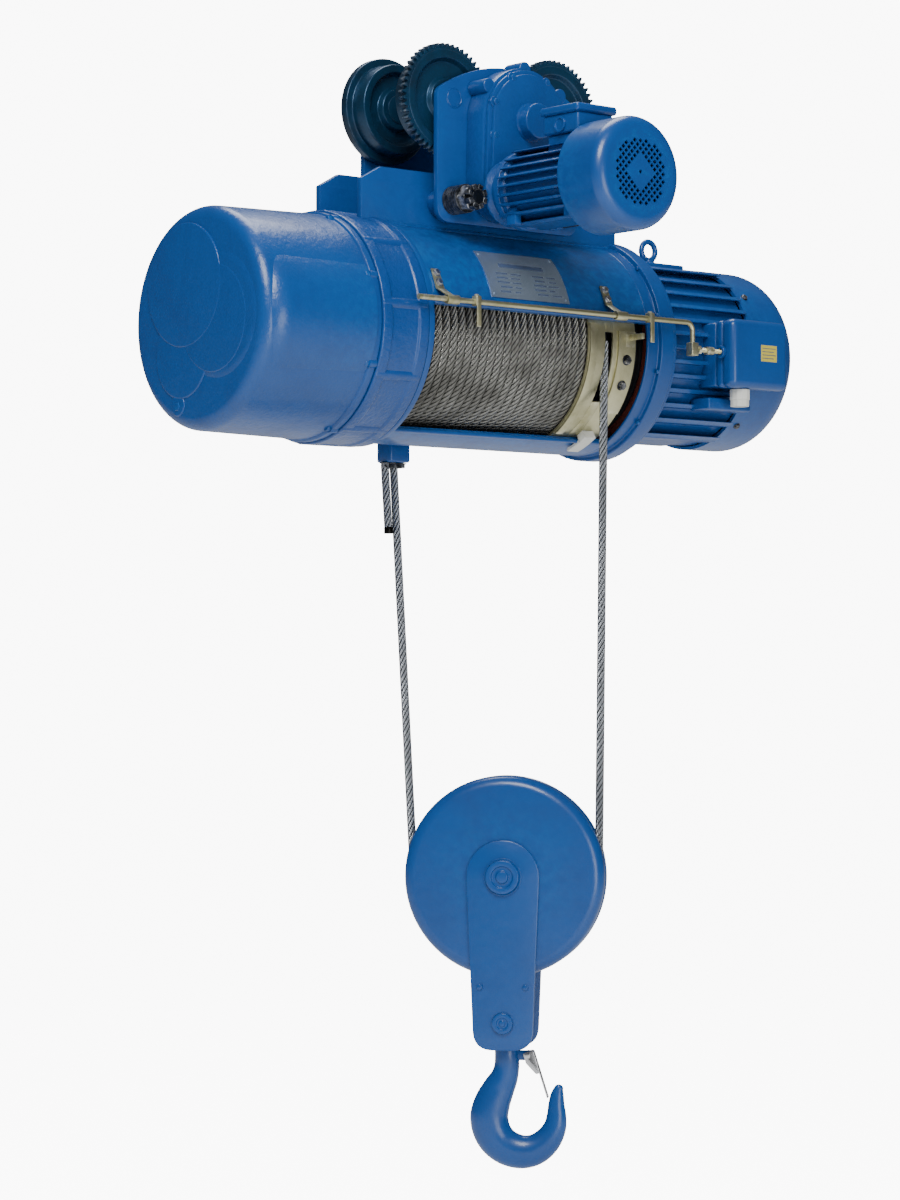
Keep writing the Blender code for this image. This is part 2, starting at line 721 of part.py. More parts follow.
def make_tie_bolts():
    """Two tie bolts, each with its washer stacks and castle nuts."""
    stack = TIE_BOLT_HALF_LENGTH - TIE_BOLT_TIP - NUT_HEIGHT
    washer = NUT_RADIUS + WASHER_LIP
    castle = TIE_BOLT_RADIUS + CASTLE_WALL
    shoulder = stack + NUT_HEIGHT * CASTLE_SHARE
    top = stack + NUT_HEIGHT
    for end, side_x in (("left", -1), ("right", 1)):
        face = SIDE_PLATE_HALF_SPAN + TOUCH
        bolt = turned(
            "tie_bolt_" + end,
            [(-TIE_BOLT_HALF_LENGTH, 0.0), (-TIE_BOLT_HALF_LENGTH, TIE_BOLT_RADIUS),
             (-top, TIE_BOLT_RADIUS), (-top, castle), (-shoulder, castle),
             (-shoulder, NUT_RADIUS), (-stack - 0.0006, NUT_RADIUS), (-stack, washer),
             (-face, washer), (-face, TIE_BOLT_RADIUS), (face, TIE_BOLT_RADIUS), (face, washer),
             (stack, washer), (stack + 0.0006, NUT_RADIUS), (shoulder, NUT_RADIUS),
             (shoulder, castle), (top, castle), (top, TIE_BOLT_RADIUS),
             (TIE_BOLT_HALF_LENGTH, TIE_BOLT_RADIUS), (TIE_BOLT_HALF_LENGTH, 0.0)],
            (side_x * TIE_BOLT_SPREAD, 0.0, TIE_BOLT_Z), "+Y",
            segments=SMALL_SEGMENTS, closed=False)
        finish(bolt, BLACKED)


# ----------------------------------------------------------- the drum housing
def make_drum_housing():
    """Tube with the rope window, its ledge and the motor's flange ring."""
    inner = HOUSING_RADIUS - HOUSING_WALL
    right = HOUSING_RIGHT + RIGHT_RING_WIDTH
    lip = HOUSING_LEFT + LEFT_LIP_WIDTH
    section = [(HOUSING_LEFT, inner), (HOUSING_LEFT, HOUSING_RADIUS + LEFT_LIP_RISE),
               (lip, HOUSING_RADIUS + LEFT_LIP_RISE),
               (lip, HOUSING_RADIUS), (HOUSING_RIGHT, HOUSING_RADIUS),
               (HOUSING_RIGHT, RIGHT_RING_RADIUS), (right, RIGHT_RING_RADIUS),
               (right, inner)]
    housing = turned("drum_housing", section, (0, 0, DRUM_Z), "+X", segments=DRUM_FACETS)
    window = plate("window_cutter",
                   [sector_outline(HOUSING_RADIUS - 0.020, HOUSING_RADIUS + 0.020,
                                   WINDOW_BOTTOM_ANGLE, WINDOW_TOP_ANGLE, 14)],
                   WINDOW_RIGHT - WINDOW_LEFT, "YZ",
                   ((WINDOW_RIGHT + WINDOW_LEFT) / 2, 0.0, DRUM_Z), CUTTERS)
    combine(housing, [window], "DIFFERENCE")
    ledge_z = DRUM_Z + HOUSING_RADIUS * math.sin(math.radians(WINDOW_TOP_ANGLE))
    front = -HOUSING_RADIUS - LEDGE_DEPTH + LEDGE_SINK
    ledge = box("ledge", (WINDOW_LEFT - 0.001, front, ledge_z - LEDGE_SINK),
                (WINDOW_RIGHT + 0.001, -HOUSING_RADIUS + HOUSING_WALL + 0.0005,
                 ledge_z + LEDGE_HEIGHT - LEDGE_SINK), collection=CUTTERS)
    combine(housing, [ledge], "UNION")
    smooth(housing.data)
    finish(housing, PAINTED)


def make_hanging_plates():
    """Two long plates welded to the housing, hung on the tie bolts."""
    half = HANGER_HALF_LENGTH
    low = DRUM_Z + HOUSING_RADIUS * 0.85
    edge = [(-half, low), (half, low), (half, HANGER_TOP - HANGER_CHAMFER_Z),
            (half - HANGER_CHAMFER_X, HANGER_TOP), (-half + HANGER_CHAMFER_X, HANGER_TOP),
            (-half, HANGER_TOP - HANGER_CHAMFER_Z)]
    bolts = [circle((side * TIE_BOLT_SPREAD, TIE_BOLT_Z), bore_radius(TIE_BOLT_RADIUS))
             for side in (-1, 1)]
    middle = (HANGER_HALF_SPAN + HANGER_INNER) / 2
    step = HOUSING_LEFT + LEFT_LIP_WIDTH + 0.0005
    beyond = HANGER_HALF_LENGTH + 0.1
    for name, side in (("hanging_plate_front", -1), ("hanging_plate_rear", 1)):
        made = plate(name, [edge] + bolts, HANGER_THICKNESS, "XZ", (0.0, side * middle, 0.0))
        saddle = turned(name + "_saddle",
                        [(-beyond, 0.0), (-beyond, GEARBOX_RADIUS + 0.002),
                         (step, GEARBOX_RADIUS + 0.002), (step, HOUSING_RADIUS + TOUCH),
                         (HOUSING_RIGHT - TOUCH, HOUSING_RADIUS + TOUCH),
                         (HOUSING_RIGHT - TOUCH, RIGHT_RING_RADIUS + TOUCH),
                         (beyond, RIGHT_RING_RADIUS + TOUCH), (beyond, 0.0)],
                        (0, 0, DRUM_Z), "+X", segments=DRUM_FACETS, collection=CUTTERS,
                        closed=False)
        combine(made, [saddle], "DIFFERENCE", solver="MANIFOLD")
        finish(made, PAINTED)


def make_nameplate():
    """Blank rating plate, bent to the housing."""
    made = plate("nameplate",
                 [sector_outline(HOUSING_RADIUS + TOUCH, HOUSING_RADIUS + TOUCH + NAMEPLATE_THICKNESS,
                                 *NAMEPLATE_ANGLES, 8)],
                 NAMEPLATE_LENGTH, "YZ", (NAMEPLATE_X, 0.0, DRUM_Z))
    finish(made, (SILVER, 0.35, 0.8))


# ------------------------------------------------------- the drum and its rope
def make_drum():
    """Grooved drum with its two hubs, and the rope wound on it."""
    axis = empty_at("axis_drum", (0.0, 0.0, DRUM_Z))
    outer = DRUM_GROOVE_RADIUS
    inner = outer - DRUM_WALL
    bore = SHAFT_RADIUS + SHAFT_GAP
    section = [(DRUM_LEFT, bore), (DRUM_LEFT, outer), (DRUM_RIGHT, outer), (DRUM_RIGHT, inner),
               (DRUM_RIGHT - DRUM_WALL, inner), (DRUM_RIGHT - DRUM_WALL, DRUM_HUB_RADIUS),
               (DRUM_RIGHT + DRUM_HUB_LENGTH, DRUM_HUB_RADIUS), (DRUM_RIGHT + DRUM_HUB_LENGTH, bore),
               (DRUM_RIGHT - DRUM_WALL - DRUM_WEB, bore),
               (DRUM_RIGHT - DRUM_WALL - DRUM_WEB, inner),
               (DRUM_LEFT + DRUM_WEB, inner), (DRUM_LEFT + DRUM_WEB, bore)]
    drum = turned("drum", section, (0, 0, 0), "+X", segments=DRUM_FACETS)
    finish(drum, GREASED, axis)
    rope = turned("rope_on_drum",
                  [(WRAPS_LEFT, outer + TOUCH), (WRAPS_LEFT, outer + ROPE_DIAMETER),
                   (WRAPS_RIGHT, outer + ROPE_DIAMETER), (WRAPS_RIGHT, outer + TOUCH)],
                  (0, 0, 0), "+X", segments=DRUM_FACETS)
    finish(rope, ROPE, axis)
    return axis


def make_rope_guide():
    """Guide ring that follows the rope along the drum, with its tongue."""
    axis = empty_at("axis_rope_guide", (GUIDE_SLOT_X, 0.0, DRUM_Z))
    left, right = GUIDE_LEFT - GUIDE_SLOT_X, GUIDE_RIGHT - GUIDE_SLOT_X
    ring = turned("rope_guide",
                  [(left, GUIDE_INNER), (left, GUIDE_OUTER),
                   (right, GUIDE_OUTER), (right, GUIDE_INNER)],
                  (0, 0, 0), "+X", segments=DRUM_FACETS)
    ring.parent = axis
    band = plate("guide_clamp_band",
                 [sector_outline(GUIDE_OUTER - 0.001, GUIDE_OUTER + 0.004,
                                 WINDOW_BOTTOM_ANGLE + 4, WINDOW_TOP_ANGLE - 2, 12)],
                 GUIDE_COLLAR, "YZ", (left + GUIDE_COLLAR / 2 + 0.0005, 0, 0), CUTTERS)
    side_x = STRIKER_X - GUIDE_SLOT_X
    side = plate("guide_side_plate",
                 [sector_outline(GUIDE_OUTER - 0.001, GUIDE_OUTER + 0.0035, -40.0, 4.0, 8)],
                 GUIDE_SIDE_WIDTH, "YZ", (side_x - STRIKER_WIDTH, 0, 0), CUTTERS)
    striker = box("striker", (side_x - STRIKER_WIDTH, ROD_Y - 0.006, 0.001),
                  (side_x, -GUIDE_OUTER + 0.001, 0.010), collection=CUTTERS)
    slot = plate("guide_slot_cutter",
                 [sector_outline(GUIDE_INNER - 0.010, GUIDE_OUTER + 0.012, -34.0, 6.0, 8)],
                 GUIDE_SLOT_WIDTH, "YZ", (0, 0, 0), CUTTERS)
    for piece in (band, side, striker, slot):
        piece.parent = axis
    combine(ring, [band, side, striker], "UNION")
    combine(ring, [slot], "DIFFERENCE")
    finish(ring, YELLOW_ZINC, axis)
    low = WINDOW_BOTTOM_ANGLE
    reach = HOUSING_RADIUS + TONGUE_RISE
    outline = ([(-r * math.cos(math.radians(a)), r * math.sin(math.radians(a))) for r, a in (
        (GUIDE_OUTER + TOUCH, low + 7), (reach, low + 7), (reach, low - 3), (reach, low - 9),
        (HOUSING_RADIUS + 0.002, low - 9), (HOUSING_RADIUS + 0.002, low - 3),
        (HOUSING_RADIUS + 0.002, low + 2), (GUIDE_OUTER + TOUCH, low + 2))])
    tongue = plate("guide_tongue", [outline], TONGUE_WIDTH, "YZ",
                   (TONGUE_X - GUIDE_SLOT_X, 0, 0))
    finish(tongue, (PALE, 0.5, 0.0), axis)


# --------------------------------------------------------------- the gearbox
def cover_shape(name, shrink, collection):
    """Return the cover's body: the round with its bulge, drawn in by `shrink`."""
    right = GEARBOX_LEFT - TOUCH + (0.010 if shrink else 0.0)
    left = COVER_LEFT + shrink
    radius = COVER_RADIUS - shrink
    body_steps, lobe_steps = (1, 2) if shrink else (2, 4)
    body = turned(name, [(right, 0.0), (right, radius + COVER_DRAFT)]
                  + rounded_end(right, left, radius, COVER_ROUND, body_steps) + [(left, 0.0)],
                  (0, 0, DRUM_Z), "+X", segments=DRUM_FACETS, collection=collection,
                  closed=False)
    bake(body)
    lobe = turned(name + "_lobe", [(right, 0.0), (right, LOBE_RADIUS - shrink)]
                  + rounded_end(right, left, LOBE_RADIUS - shrink, LOBE_ROUND, lobe_steps)
                  + [(left, 0.0)], (0, LOBE_CENTRE, DRUM_Z), "+X", segments=24,
                  collection=CUTTERS, closed=False)
    return combine(body, [lobe], "UNION")


def make_gearbox():
    """Gearbox housing ring with its wall, and the bulged end cover."""
    right = HOUSING_LEFT - TOUCH
    wall = GEARBOX_END_WALL
    inner = GEARBOX_RADIUS - GEARBOX_WALL
    housing = turned("gearbox_housing",
                     [(GEARBOX_LEFT, inner), (GEARBOX_LEFT, GEARBOX_RADIUS),
                      (right, GEARBOX_RADIUS), (right, DRUM_HUB_RADIUS + 0.008),
                      (right - wall, DRUM_HUB_RADIUS + 0.008), (right - wall, inner)],
                     (0, 0, DRUM_Z), "+X", segments=DRUM_FACETS)
    finish(housing, PAINTED)
    cover = cover_shape("gearbox_cover", 0.0, PARTS)
    hollow = cover_shape("cover_hollow", COVER_WALL, CUTTERS)
    combine(cover, [hollow], "DIFFERENCE")
    smooth(cover.data)
    finish(cover, PAINTED)


def make_inner_gears():
    """Three reduction stages between the drive shaft and the drum."""
    first = (FIRST_GEAR_RATIO[0] + FIRST_GEAR_RATIO[1]) * INNER_PITCH
    second = (SECOND_GEAR_RATIO[0] + SECOND_GEAR_RATIO[1]) * INNER_PITCH
    third = (THIRD_GEAR_RATIO[0] + THIRD_GEAR_RATIO[1]) * INNER_PITCH
    y = (third ** 2 - second ** 2 + first ** 2) / (-2 * first)
    z = -math.sqrt(third ** 2 - y ** 2)
    pinion = FIRST_GEAR_RATIO[0] * INNER_PITCH - 0.0006
    reach = STAGE_WIDTH / 2 + STAGE_OVERHANG
    spin = empty_at("axis_drive_shaft", (0.0, 0.0, DRUM_Z))
    shaft = turned("drive_shaft",
                   [(SHAFT_LEFT, 0.0), (SHAFT_LEFT, SHAFT_RADIUS),
                    (STAGE_X[0] - reach, SHAFT_RADIUS), (STAGE_X[0] - reach, pinion),
                    (STAGE_X[0] + reach, pinion), (STAGE_X[0] + reach, SHAFT_RADIUS),
                    (ROTOR_LEFT, SHAFT_RADIUS), (ROTOR_LEFT, ROTOR_SMALL),
                    (ROTOR_RIGHT, ROTOR_LARGE), (ROTOR_RIGHT, SHAFT_RADIUS),
                    (SHAFT_RIGHT, SHAFT_RADIUS), (SHAFT_RIGHT, 0.0)],
                   (0, 0, 0), "+X", segments=18, closed=False)
    finish(shaft, BRIGHT, spin)
    make_cluster_gear("first_gear", (0.0, -first, DRUM_Z), STAGE_X[0], STAGE_X[1],
                      FIRST_GEAR_RATIO[1], SECOND_GEAR_RATIO[0])
    make_cluster_gear("second_gear", (0.0, y, DRUM_Z + z), STAGE_X[1], STAGE_X[2],
                      SECOND_GEAR_RATIO[1], THIRD_GEAR_RATIO[0])


def make_cluster_gear(name, at, wheel_x, pinion_x, wheel_teeth, pinion_teeth):
    """Layshaft with the wheel of one stage and the pinion of the next."""
    journal = JOURNAL_RADIUS
    wheel = wheel_teeth * INNER_PITCH - BACKLASH
    pinion = pinion_teeth * INNER_PITCH - BACKLASH
    axis = empty_at("axis_" + name, at)
    half = STAGE_WIDTH / 2
    reach = half + STAGE_OVERHANG
    end = half + JOURNAL_LENGTH
    gear = turned(name,
                  [(wheel_x - end, 0.0), (wheel_x - end, journal),
                   (wheel_x - half, journal), (wheel_x - half, wheel), (wheel_x + half, wheel),
                   (wheel_x + half, journal), (pinion_x - reach, journal),
                   (pinion_x - reach, pinion), (pinion_x + reach, pinion),
                   (pinion_x + reach, journal), (pinion_x + end, journal),
                   (pinion_x + end, 0.0)],
                  (0, 0, 0), "+X", segments=20, closed=False)
    finish(gear, BRIGHT, axis)


def make_output_gear(axis):
    """Output gear with the hollow shaft that carries the drum's left end."""
    bore = SHAFT_RADIUS + SHAFT_GAP
    wheel = THIRD_GEAR_RATIO[1] * INNER_PITCH - BACKLASH
    left, right = OUTPUT_GEAR_LEFT, OUTPUT_GEAR_RIGHT
    gear = turned("output_gear",
                  [(left, bore), (left, wheel), (right, wheel),
                   (right, DRUM_HUB_RADIUS), (DRUM_LEFT - TOUCH, DRUM_HUB_RADIUS),
                   (DRUM_LEFT - TOUCH, bore)],
                  (0, 0, 0), "+X", segments=24)
    finish(gear, BRIGHT, axis)
    return gear


# ------------------------------------------------------------ the hoist motor
def fin_outline(core, tip, pitch, thickness, least):
    """Return a motor body's outline with level fins, as (Y, Z)."""
    def reach(radius, level):
        """Return a circle's half width at a level."""
        return math.sqrt(max(radius ** 2 - level ** 2, least ** 2))

    count = int((tip - thickness) // pitch)
    points = []
    for side in (-1, 1):
        half = []
        for k in range(-count, count + 1):
            low, high = k * pitch - thickness / 2, k * pitch + thickness / 2
            half += [(reach(core, low), low), (reach(tip, low), low),
                     (reach(tip, high), high), (reach(core, high), high)]
        if side < 0:
            points += [(u, v) for u, v in half]
        else:
            points += [(-u, v) for u, v in reversed(half)]
    return points


def make_hoist_motor():
    """Finned frame, stator, rotor, brake, end cover and end shield."""
    frame = plate("hoist_motor_frame",
                  [fin_outline(MOTOR_CORE_RADIUS, MOTOR_FIN_RADIUS, MOTOR_FIN_PITCH,
                               MOTOR_FIN_THICKNESS, 0.030),
                   circle((0.0, 0.0), MOTOR_BORE / math.cos(math.pi / 24), 24)],
                  MOTOR_RIGHT - MOTOR_LEFT, "YZ",
                  ((MOTOR_RIGHT + MOTOR_LEFT) / 2, 0, DRUM_Z))
    collar = turned("frame_collar",
                    [(MOTOR_LEFT + 0.0004, MOTOR_BORE + COLLAR_STEP),
                     (MOTOR_LEFT + 0.0004, RIGHT_RING_RADIUS - 0.006),
                     (MOTOR_LEFT + 0.008, RIGHT_RING_RADIUS - 0.006),
                     (MOTOR_LEFT + 0.020, MOTOR_FIN_RADIUS - COLLAR_STEP),
                     (MOTOR_LEFT + 0.020, MOTOR_BORE + COLLAR_STEP)],
                    (0, 0, DRUM_Z), "+X", segments=DRUM_FACETS, collection=CUTTERS)
    boss_top = DRUM_Z + MOTOR_FIN_RADIUS
    boss = box("eye_boss", (EYE_BOLT_X - BOSS_REACH[0], -BOSS_HALF_WIDTH, DRUM_Z + MOTOR_BORE + 0.006),
               (EYE_BOLT_X + BOSS_REACH[1], BOSS_HALF_WIDTH, boss_top), collection=CUTTERS)
    pad = box("switch_pad",
              (BOX_LEFT + BOX_WALL, BOX_SPLIT + TOUCH, DRUM_Z + BOX_BOTTOM + BOX_WALL),
              (MOTOR_RIGHT - 0.002, -MOTOR_BORE - COLLAR_STEP, DRUM_Z + BOX_TOP - BOX_WALL),
              collection=CUTTERS)
    combine(frame, [collar, boss, pad], "UNION", solver="MANIFOLD")
    finish(frame, PAINTED)
    ring = circle_points_3d((EYE_BOLT_X, 0.0, boss_top + EYE_RING_RISE), EYE_RING_RADIUS, 16)
    eye = closed_ring("eye_bolt", ring, EYE_RING_WIRE)
    stem = rod("eye_stem", 0.0065, (EYE_BOLT_X, 0, boss_top + TOUCH),
               (EYE_BOLT_X, 0, boss_top + EYE_RING_RISE - EYE_RING_RADIUS + 0.002),
               segments=12, collection=CUTTERS)
    combine(eye, [stem], "UNION")
    finish(eye, PAINTED)
    start = MOTOR_RIGHT + TOUCH
    outer = [(start, MOTOR_COVER_RADIUS)] + rounded_end(start, MOTOR_END, MOTOR_COVER_RADIUS,
                                                       MOTOR_COVER_ROUND, 4)
    inner = rounded_end(start, MOTOR_END - MOTOR_COVER_WALL,
                        MOTOR_COVER_RADIUS - MOTOR_COVER_WALL, MOTOR_COVER_ROUND, 2)
    section = (outer + [(MOTOR_END, 0.0)], [(MOTOR_END - MOTOR_COVER_WALL, 0.0)]
               + inner[::-1] + [(start, MOTOR_COVER_RADIUS - MOTOR_COVER_WALL)])
    cover = turned("hoist_motor_cover", section[0] + section[1], (0, 0, DRUM_Z), "+X",
                   segments=DRUM_FACETS)
    shell_of_revolution(cover, section)
    finish(cover, PAINTED)
    seat = HOUSING_RADIUS - HOUSING_WALL - TOUCH
    hub = DRUM_HUB_RADIUS + 0.003
    way = SHAFT_RADIUS + 0.003
    shield = turned("drum_bearing_shield",
                    [(SHIELD_LEFT, hub), (SHIELD_LEFT, seat), (SHIELD_RIGHT, seat),
                     (SHIELD_RIGHT, way), (SHIELD_WEB_LEFT, way), (SHIELD_WEB_LEFT, hub)],
                    (0, 0, DRUM_Z), "+X", segments=DRUM_FACETS)
    finish(shield, DARK)
    stator = turned("stator_core",
                    [(STATOR_LEFT, ROTOR_SMALL + ROTOR_AIR_GAP), (STATOR_LEFT, MOTOR_BORE - TOUCH),
                     (STATOR_RIGHT, MOTOR_BORE - TOUCH), (STATOR_RIGHT, ROTOR_LARGE + ROTOR_AIR_GAP)],
                    (0, 0, DRUM_Z), "+X", segments=24)
    finish(stator, (COPPER, 0.5, 0.4))


def circle_points_3d(centre, radius, steps):
    """Return the points of an upright ring that is seen along Y."""
    return [(centre[0] + radius * math.cos(2 * math.pi * i / steps), centre[1],
             centre[2] + radius * math.sin(2 * math.pi * i / steps)) for i in range(steps)]


def closed_ring(name, points, wire):
    """Return a round wire bent into a closed ring."""
    data = bpy.data.curves.new(name + "_path", "CURVE")
    data.dimensions = "3D"
    data.bevel_depth = wire
    data.bevel_resolution = 1
    spline = data.splines.new("POLY")
    spline.points.add(len(points) - 1)
    for point, place in zip(spline.points, points):
        point.co = (*place, 1.0)
    spline.use_cyclic_u = True
    curve_obj = bpy.data.objects.new(name + "_path", data)
    PARTS.objects.link(curve_obj)
    return mesh_of_curve(curve_obj, name, PARTS)


def shell_of_revolution(obj, section):
    """Redraw a cup's profile as one open line from the axis back to the axis."""
    outside, inside = section
    points = [(r, 0.0, z) for z, r in outside[::-1] + inside[::-1]]
    mesh = bpy.data.meshes.new(obj.name)
    mesh.from_pydata(points, [(i, i + 1) for i in range(len(points) - 1)], [])
    obj.data = mesh


def make_brake(axis):
    """Fan brake wheel on the end of the drive shaft."""
    brake = turned("brake_wheel",
                   [(BRAKE_X[0], SHAFT_RADIUS + TOUCH), (BRAKE_X[0], BRAKE_HUB_RADIUS),
                    (BRAKE_X[2], BRAKE_HUB_RADIUS), (BRAKE_X[2], BRAKE_RADIUS - 0.010),
                    (BRAKE_X[1], BRAKE_RADIUS), (BRAKE_X[3], BRAKE_RADIUS + BRAKE_FLARE),
                    (BRAKE_X[3], SHAFT_RADIUS + TOUCH)],
                   (0, 0, 0), "+X", segments=24)
    finish(brake, GREASED, axis)


def make_switch_box():
    """Limit switch box on the motor's pad, and its cable gland."""
    low = DRUM_Z + BOX_BOTTOM
    high = DRUM_Z + BOX_TOP
    lid = box("switch_box", (BOX_LEFT, BOX_FRONT, low), (BOX_RIGHT, BOX_SPLIT, high),
              bevel=BOX_EDGE)
    bake(lid)
    hollow = box("lid_hollow", (BOX_LEFT + BOX_WALL, BOX_FRONT + BOX_WALL, low + BOX_WALL),
                 (BOX_RIGHT - BOX_WALL, BOX_SPLIT - BOX_WALL, high - BOX_WALL),
                 collection=CUTTERS)
    entry = rod("plunger_bore", PLUNGER_BORE, (BOX_LEFT - 0.01, ROD_Y, ROD_Z - ROD_DROP),
                (BOX_LEFT + 0.01, ROD_Y, ROD_Z - ROD_DROP), segments=12, collection=CUTTERS)
    combine(lid, [hollow, entry], "DIFFERENCE")
    finish(lid, PAINTED)
    gland = turned("cable_gland",
                   [(0.0, GLAND_RADIUS - GLAND_WALL), (0.0, GLAND_RADIUS),
                    (GLAND_LENGTH, GLAND_RADIUS), (GLAND_LENGTH, GLAND_RADIUS - GLAND_WALL)],
                   (GLAND_X, GLAND_Y, low - TOUCH - GLAND_LENGTH), "+Z", segments=SMALL_SEGMENTS)
    finish(gland, (PALE, 0.5, 0.0))


def make_limit_gear():
    """Brackets, sliding rod, its two stops and the plunger into the switch."""
    for name, x in zip(("rod_bracket_left", "rod_bracket_right"), BRACKET_X):
        top = math.radians(BRACKET_TOP_ANGLE)
        foot = math.radians(BRACKET_FOOT_ANGLE)
        face = (HOUSING_RADIUS + TOUCH) / math.cos((top - foot) / 2)
        run = [(-face * math.cos(top), face * math.sin(top)),
               (-face * math.cos(foot), face * math.sin(foot)),
               (ROD_Y + 0.001, ROD_RISE + 0.0052)]
        back = [(ROD_Y - 0.002, ROD_RISE + 0.0052),
                (-(face + BRACKET_THICKNESS) * math.cos(foot) - 0.001,
                 (face + BRACKET_THICKNESS) * math.sin(foot)),
                (-(face + BRACKET_THICKNESS) * math.cos(top),
                 (face + BRACKET_THICKNESS) * math.sin(top))]
        strip = plate(name, [run + back], BRACKET_WIDTH, "YZ", (x, 0, DRUM_Z))
        sleeve = plate(name + "_sleeve",
                       [circle((ROD_Y, ROD_RISE), SLEEVE_RADIUS, 16),
                        circle((ROD_Y, ROD_RISE), ROD_RADIUS + RUN_FIT, 16)],
                       SLEEVE_LENGTH, "YZ", (x + SLEEVE_SHIFT, 0, DRUM_Z), CUTTERS)
        combine(strip, [sleeve], "UNION")
        finish(strip, YELLOW_ZINC)
    axis = empty_at("axis_limit_rod", (0.0, ROD_Y, ROD_Z))
    bend = ROD_BEND
    low = -ROD_DROP
    path = [(ROD_LEFT, 0, 0), (0.0, 0, 0), (ROD_RIGHT - bend, 0, 0)]
    path += [(ROD_RIGHT - bend + bend * math.sin(math.radians(a)), 0,
              -bend + bend * math.cos(math.radians(a))) for a in (30, 60, 90)]
    path += [(ROD_RIGHT, 0, low + 0.007)]
    rail = tube("limit_rod", path, ROD_RADIUS)
    rail.parent = axis
    stops = []
    for number, x in enumerate(STOP_X):
        stops.append(box("limit_stop" + str(number),
                         (x - STOP_WIDTH / 2, -STOP_DEPTH / 2, -STOP_BELOW),
                         (x + STOP_WIDTH / 2, STOP_DEPTH / 2, STOP_ABOVE), collection=CUTTERS))
    fork = box("switch_fork", (ROD_RIGHT - FORK_HALF, -FORK_HALF, low - FORK_HALF_HEIGHT),
               (ROD_RIGHT + FORK_HALF, FORK_HALF, low + FORK_HALF_HEIGHT), collection=CUTTERS)
    screw = rod("plunger_screw", PLUNGER_RADIUS, (ROD_RIGHT + 0.004, 0, low),
                (BOX_LEFT + PLUNGER_REACH, 0, low), segments=12, collection=CUTTERS)
    for piece in (*stops, fork, screw):
        piece.parent = axis
    combine(rail, [*stops, fork, screw], "UNION")
    finish(rail, YELLOW_ZINC, axis)


# ----------------------------------------------------------- the trolley drive
def make_reducer():
    """Reducer housing, its cover and the gears that drive the wheels."""
    outline = hull_of_circles(REDUCER_CENTRE, REDUCER_RADIUS, REDUCER_LOWER, REDUCER_LOWER_RADIUS)
    inside = hull_of_circles(REDUCER_CENTRE, REDUCER_RADIUS - REDUCER_WALL,
                             REDUCER_LOWER, REDUCER_LOWER_RADIUS - REDUCER_WALL)
    depth = REDUCER_BACK - REDUCER_SPLIT
    body = plate("reducer_housing", [outline], depth, "XZ",
                 (0, (REDUCER_BACK + REDUCER_SPLIT) / 2, 0))
    pocket = plate("reducer_pocket", [inside], depth, "XZ",
                   (0, (REDUCER_BACK + REDUCER_SPLIT) / 2 - REDUCER_WALL, 0), CUTTERS)
    bore = rod("reducer_bore", bore_radius(PINION_SHAFT, SMALL_SEGMENTS, PINION_BORE_GAP),
               (REDUCER_CENTRE[0], REDUCER_BACK - 0.02, REDUCER_CENTRE[1]),
               (REDUCER_CENTRE[0], REDUCER_BACK + 0.02, REDUCER_CENTRE[1]), collection=CUTTERS)
    combine(body, [pocket, bore], "DIFFERENCE")
    lugs = []
    for number, angle in enumerate(REDUCER_LUGS):
        reach = REDUCER_RADIUS + LUG_RISE
        at = (REDUCER_CENTRE[0] + reach * math.cos(math.radians(angle)),
              REDUCER_CENTRE[1] + reach * math.sin(math.radians(angle)))
        lugs.append(rod("reducer_lug" + str(number), LUG_RADIUS, (at[0], REDUCER_BACK - 0.0002, at[1]),
                        (at[0], REDUCER_SPLIT + 0.0002, at[1]), segments=12, collection=CUTTERS))
    combine(body, lugs, "UNION")
    smooth(body.data)
    finish(body, PAINTED)
    lid_line = hull_of_circles(REDUCER_CENTRE, REDUCER_COVER_RADIUS, REDUCER_LOWER,
                               REDUCER_LOWER_RADIUS - 0.003)
    start = REDUCER_SPLIT - TOUCH
    cover = plate("reducer_cover", [lid_line], start - REDUCER_FRONT, "XZ",
                  (0, (start + REDUCER_FRONT) / 2, 0))
    boss = rod("cover_boss", COVER_BOSS_RADIUS,
               (REDUCER_CENTRE[0], REDUCER_FRONT + 0.001, REDUCER_CENTRE[1]),
               (REDUCER_CENTRE[0], REDUCER_FRONT - COVER_BOSS_LENGTH, REDUCER_CENTRE[1]),
               collection=CUTTERS)
    neck = rod("cover_neck", DRIVE_FLANGE_RADIUS - 0.017,
               (DRIVE_X, REDUCER_FRONT + 0.001, DRIVE_Z), (DRIVE_X, DRIVE_FLANGE_BACK, DRIVE_Z),
               segments=20, collection=CUTTERS)
    flange = rod("cover_flange", DRIVE_FLANGE_RADIUS,
                 (DRIVE_X, DRIVE_FLANGE_BACK + 0.0002, DRIVE_Z),
                 (DRIVE_X, DRIVE_FLANGE_FRONT, DRIVE_Z), segments=24, collection=CUTTERS)
    combine(cover, [boss, neck, flange], "UNION")
    shaft_way = rod("cover_bore", COVER_BORE, (DRIVE_X, start + 0.01, DRIVE_Z),
                    (DRIVE_X, DRIVE_FLANGE_FRONT - 0.01, DRIVE_Z), collection=CUTTERS)
    combine(cover, [shaft_way], "DIFFERENCE")
    smooth(cover.data)
    finish(cover, PAINTED)


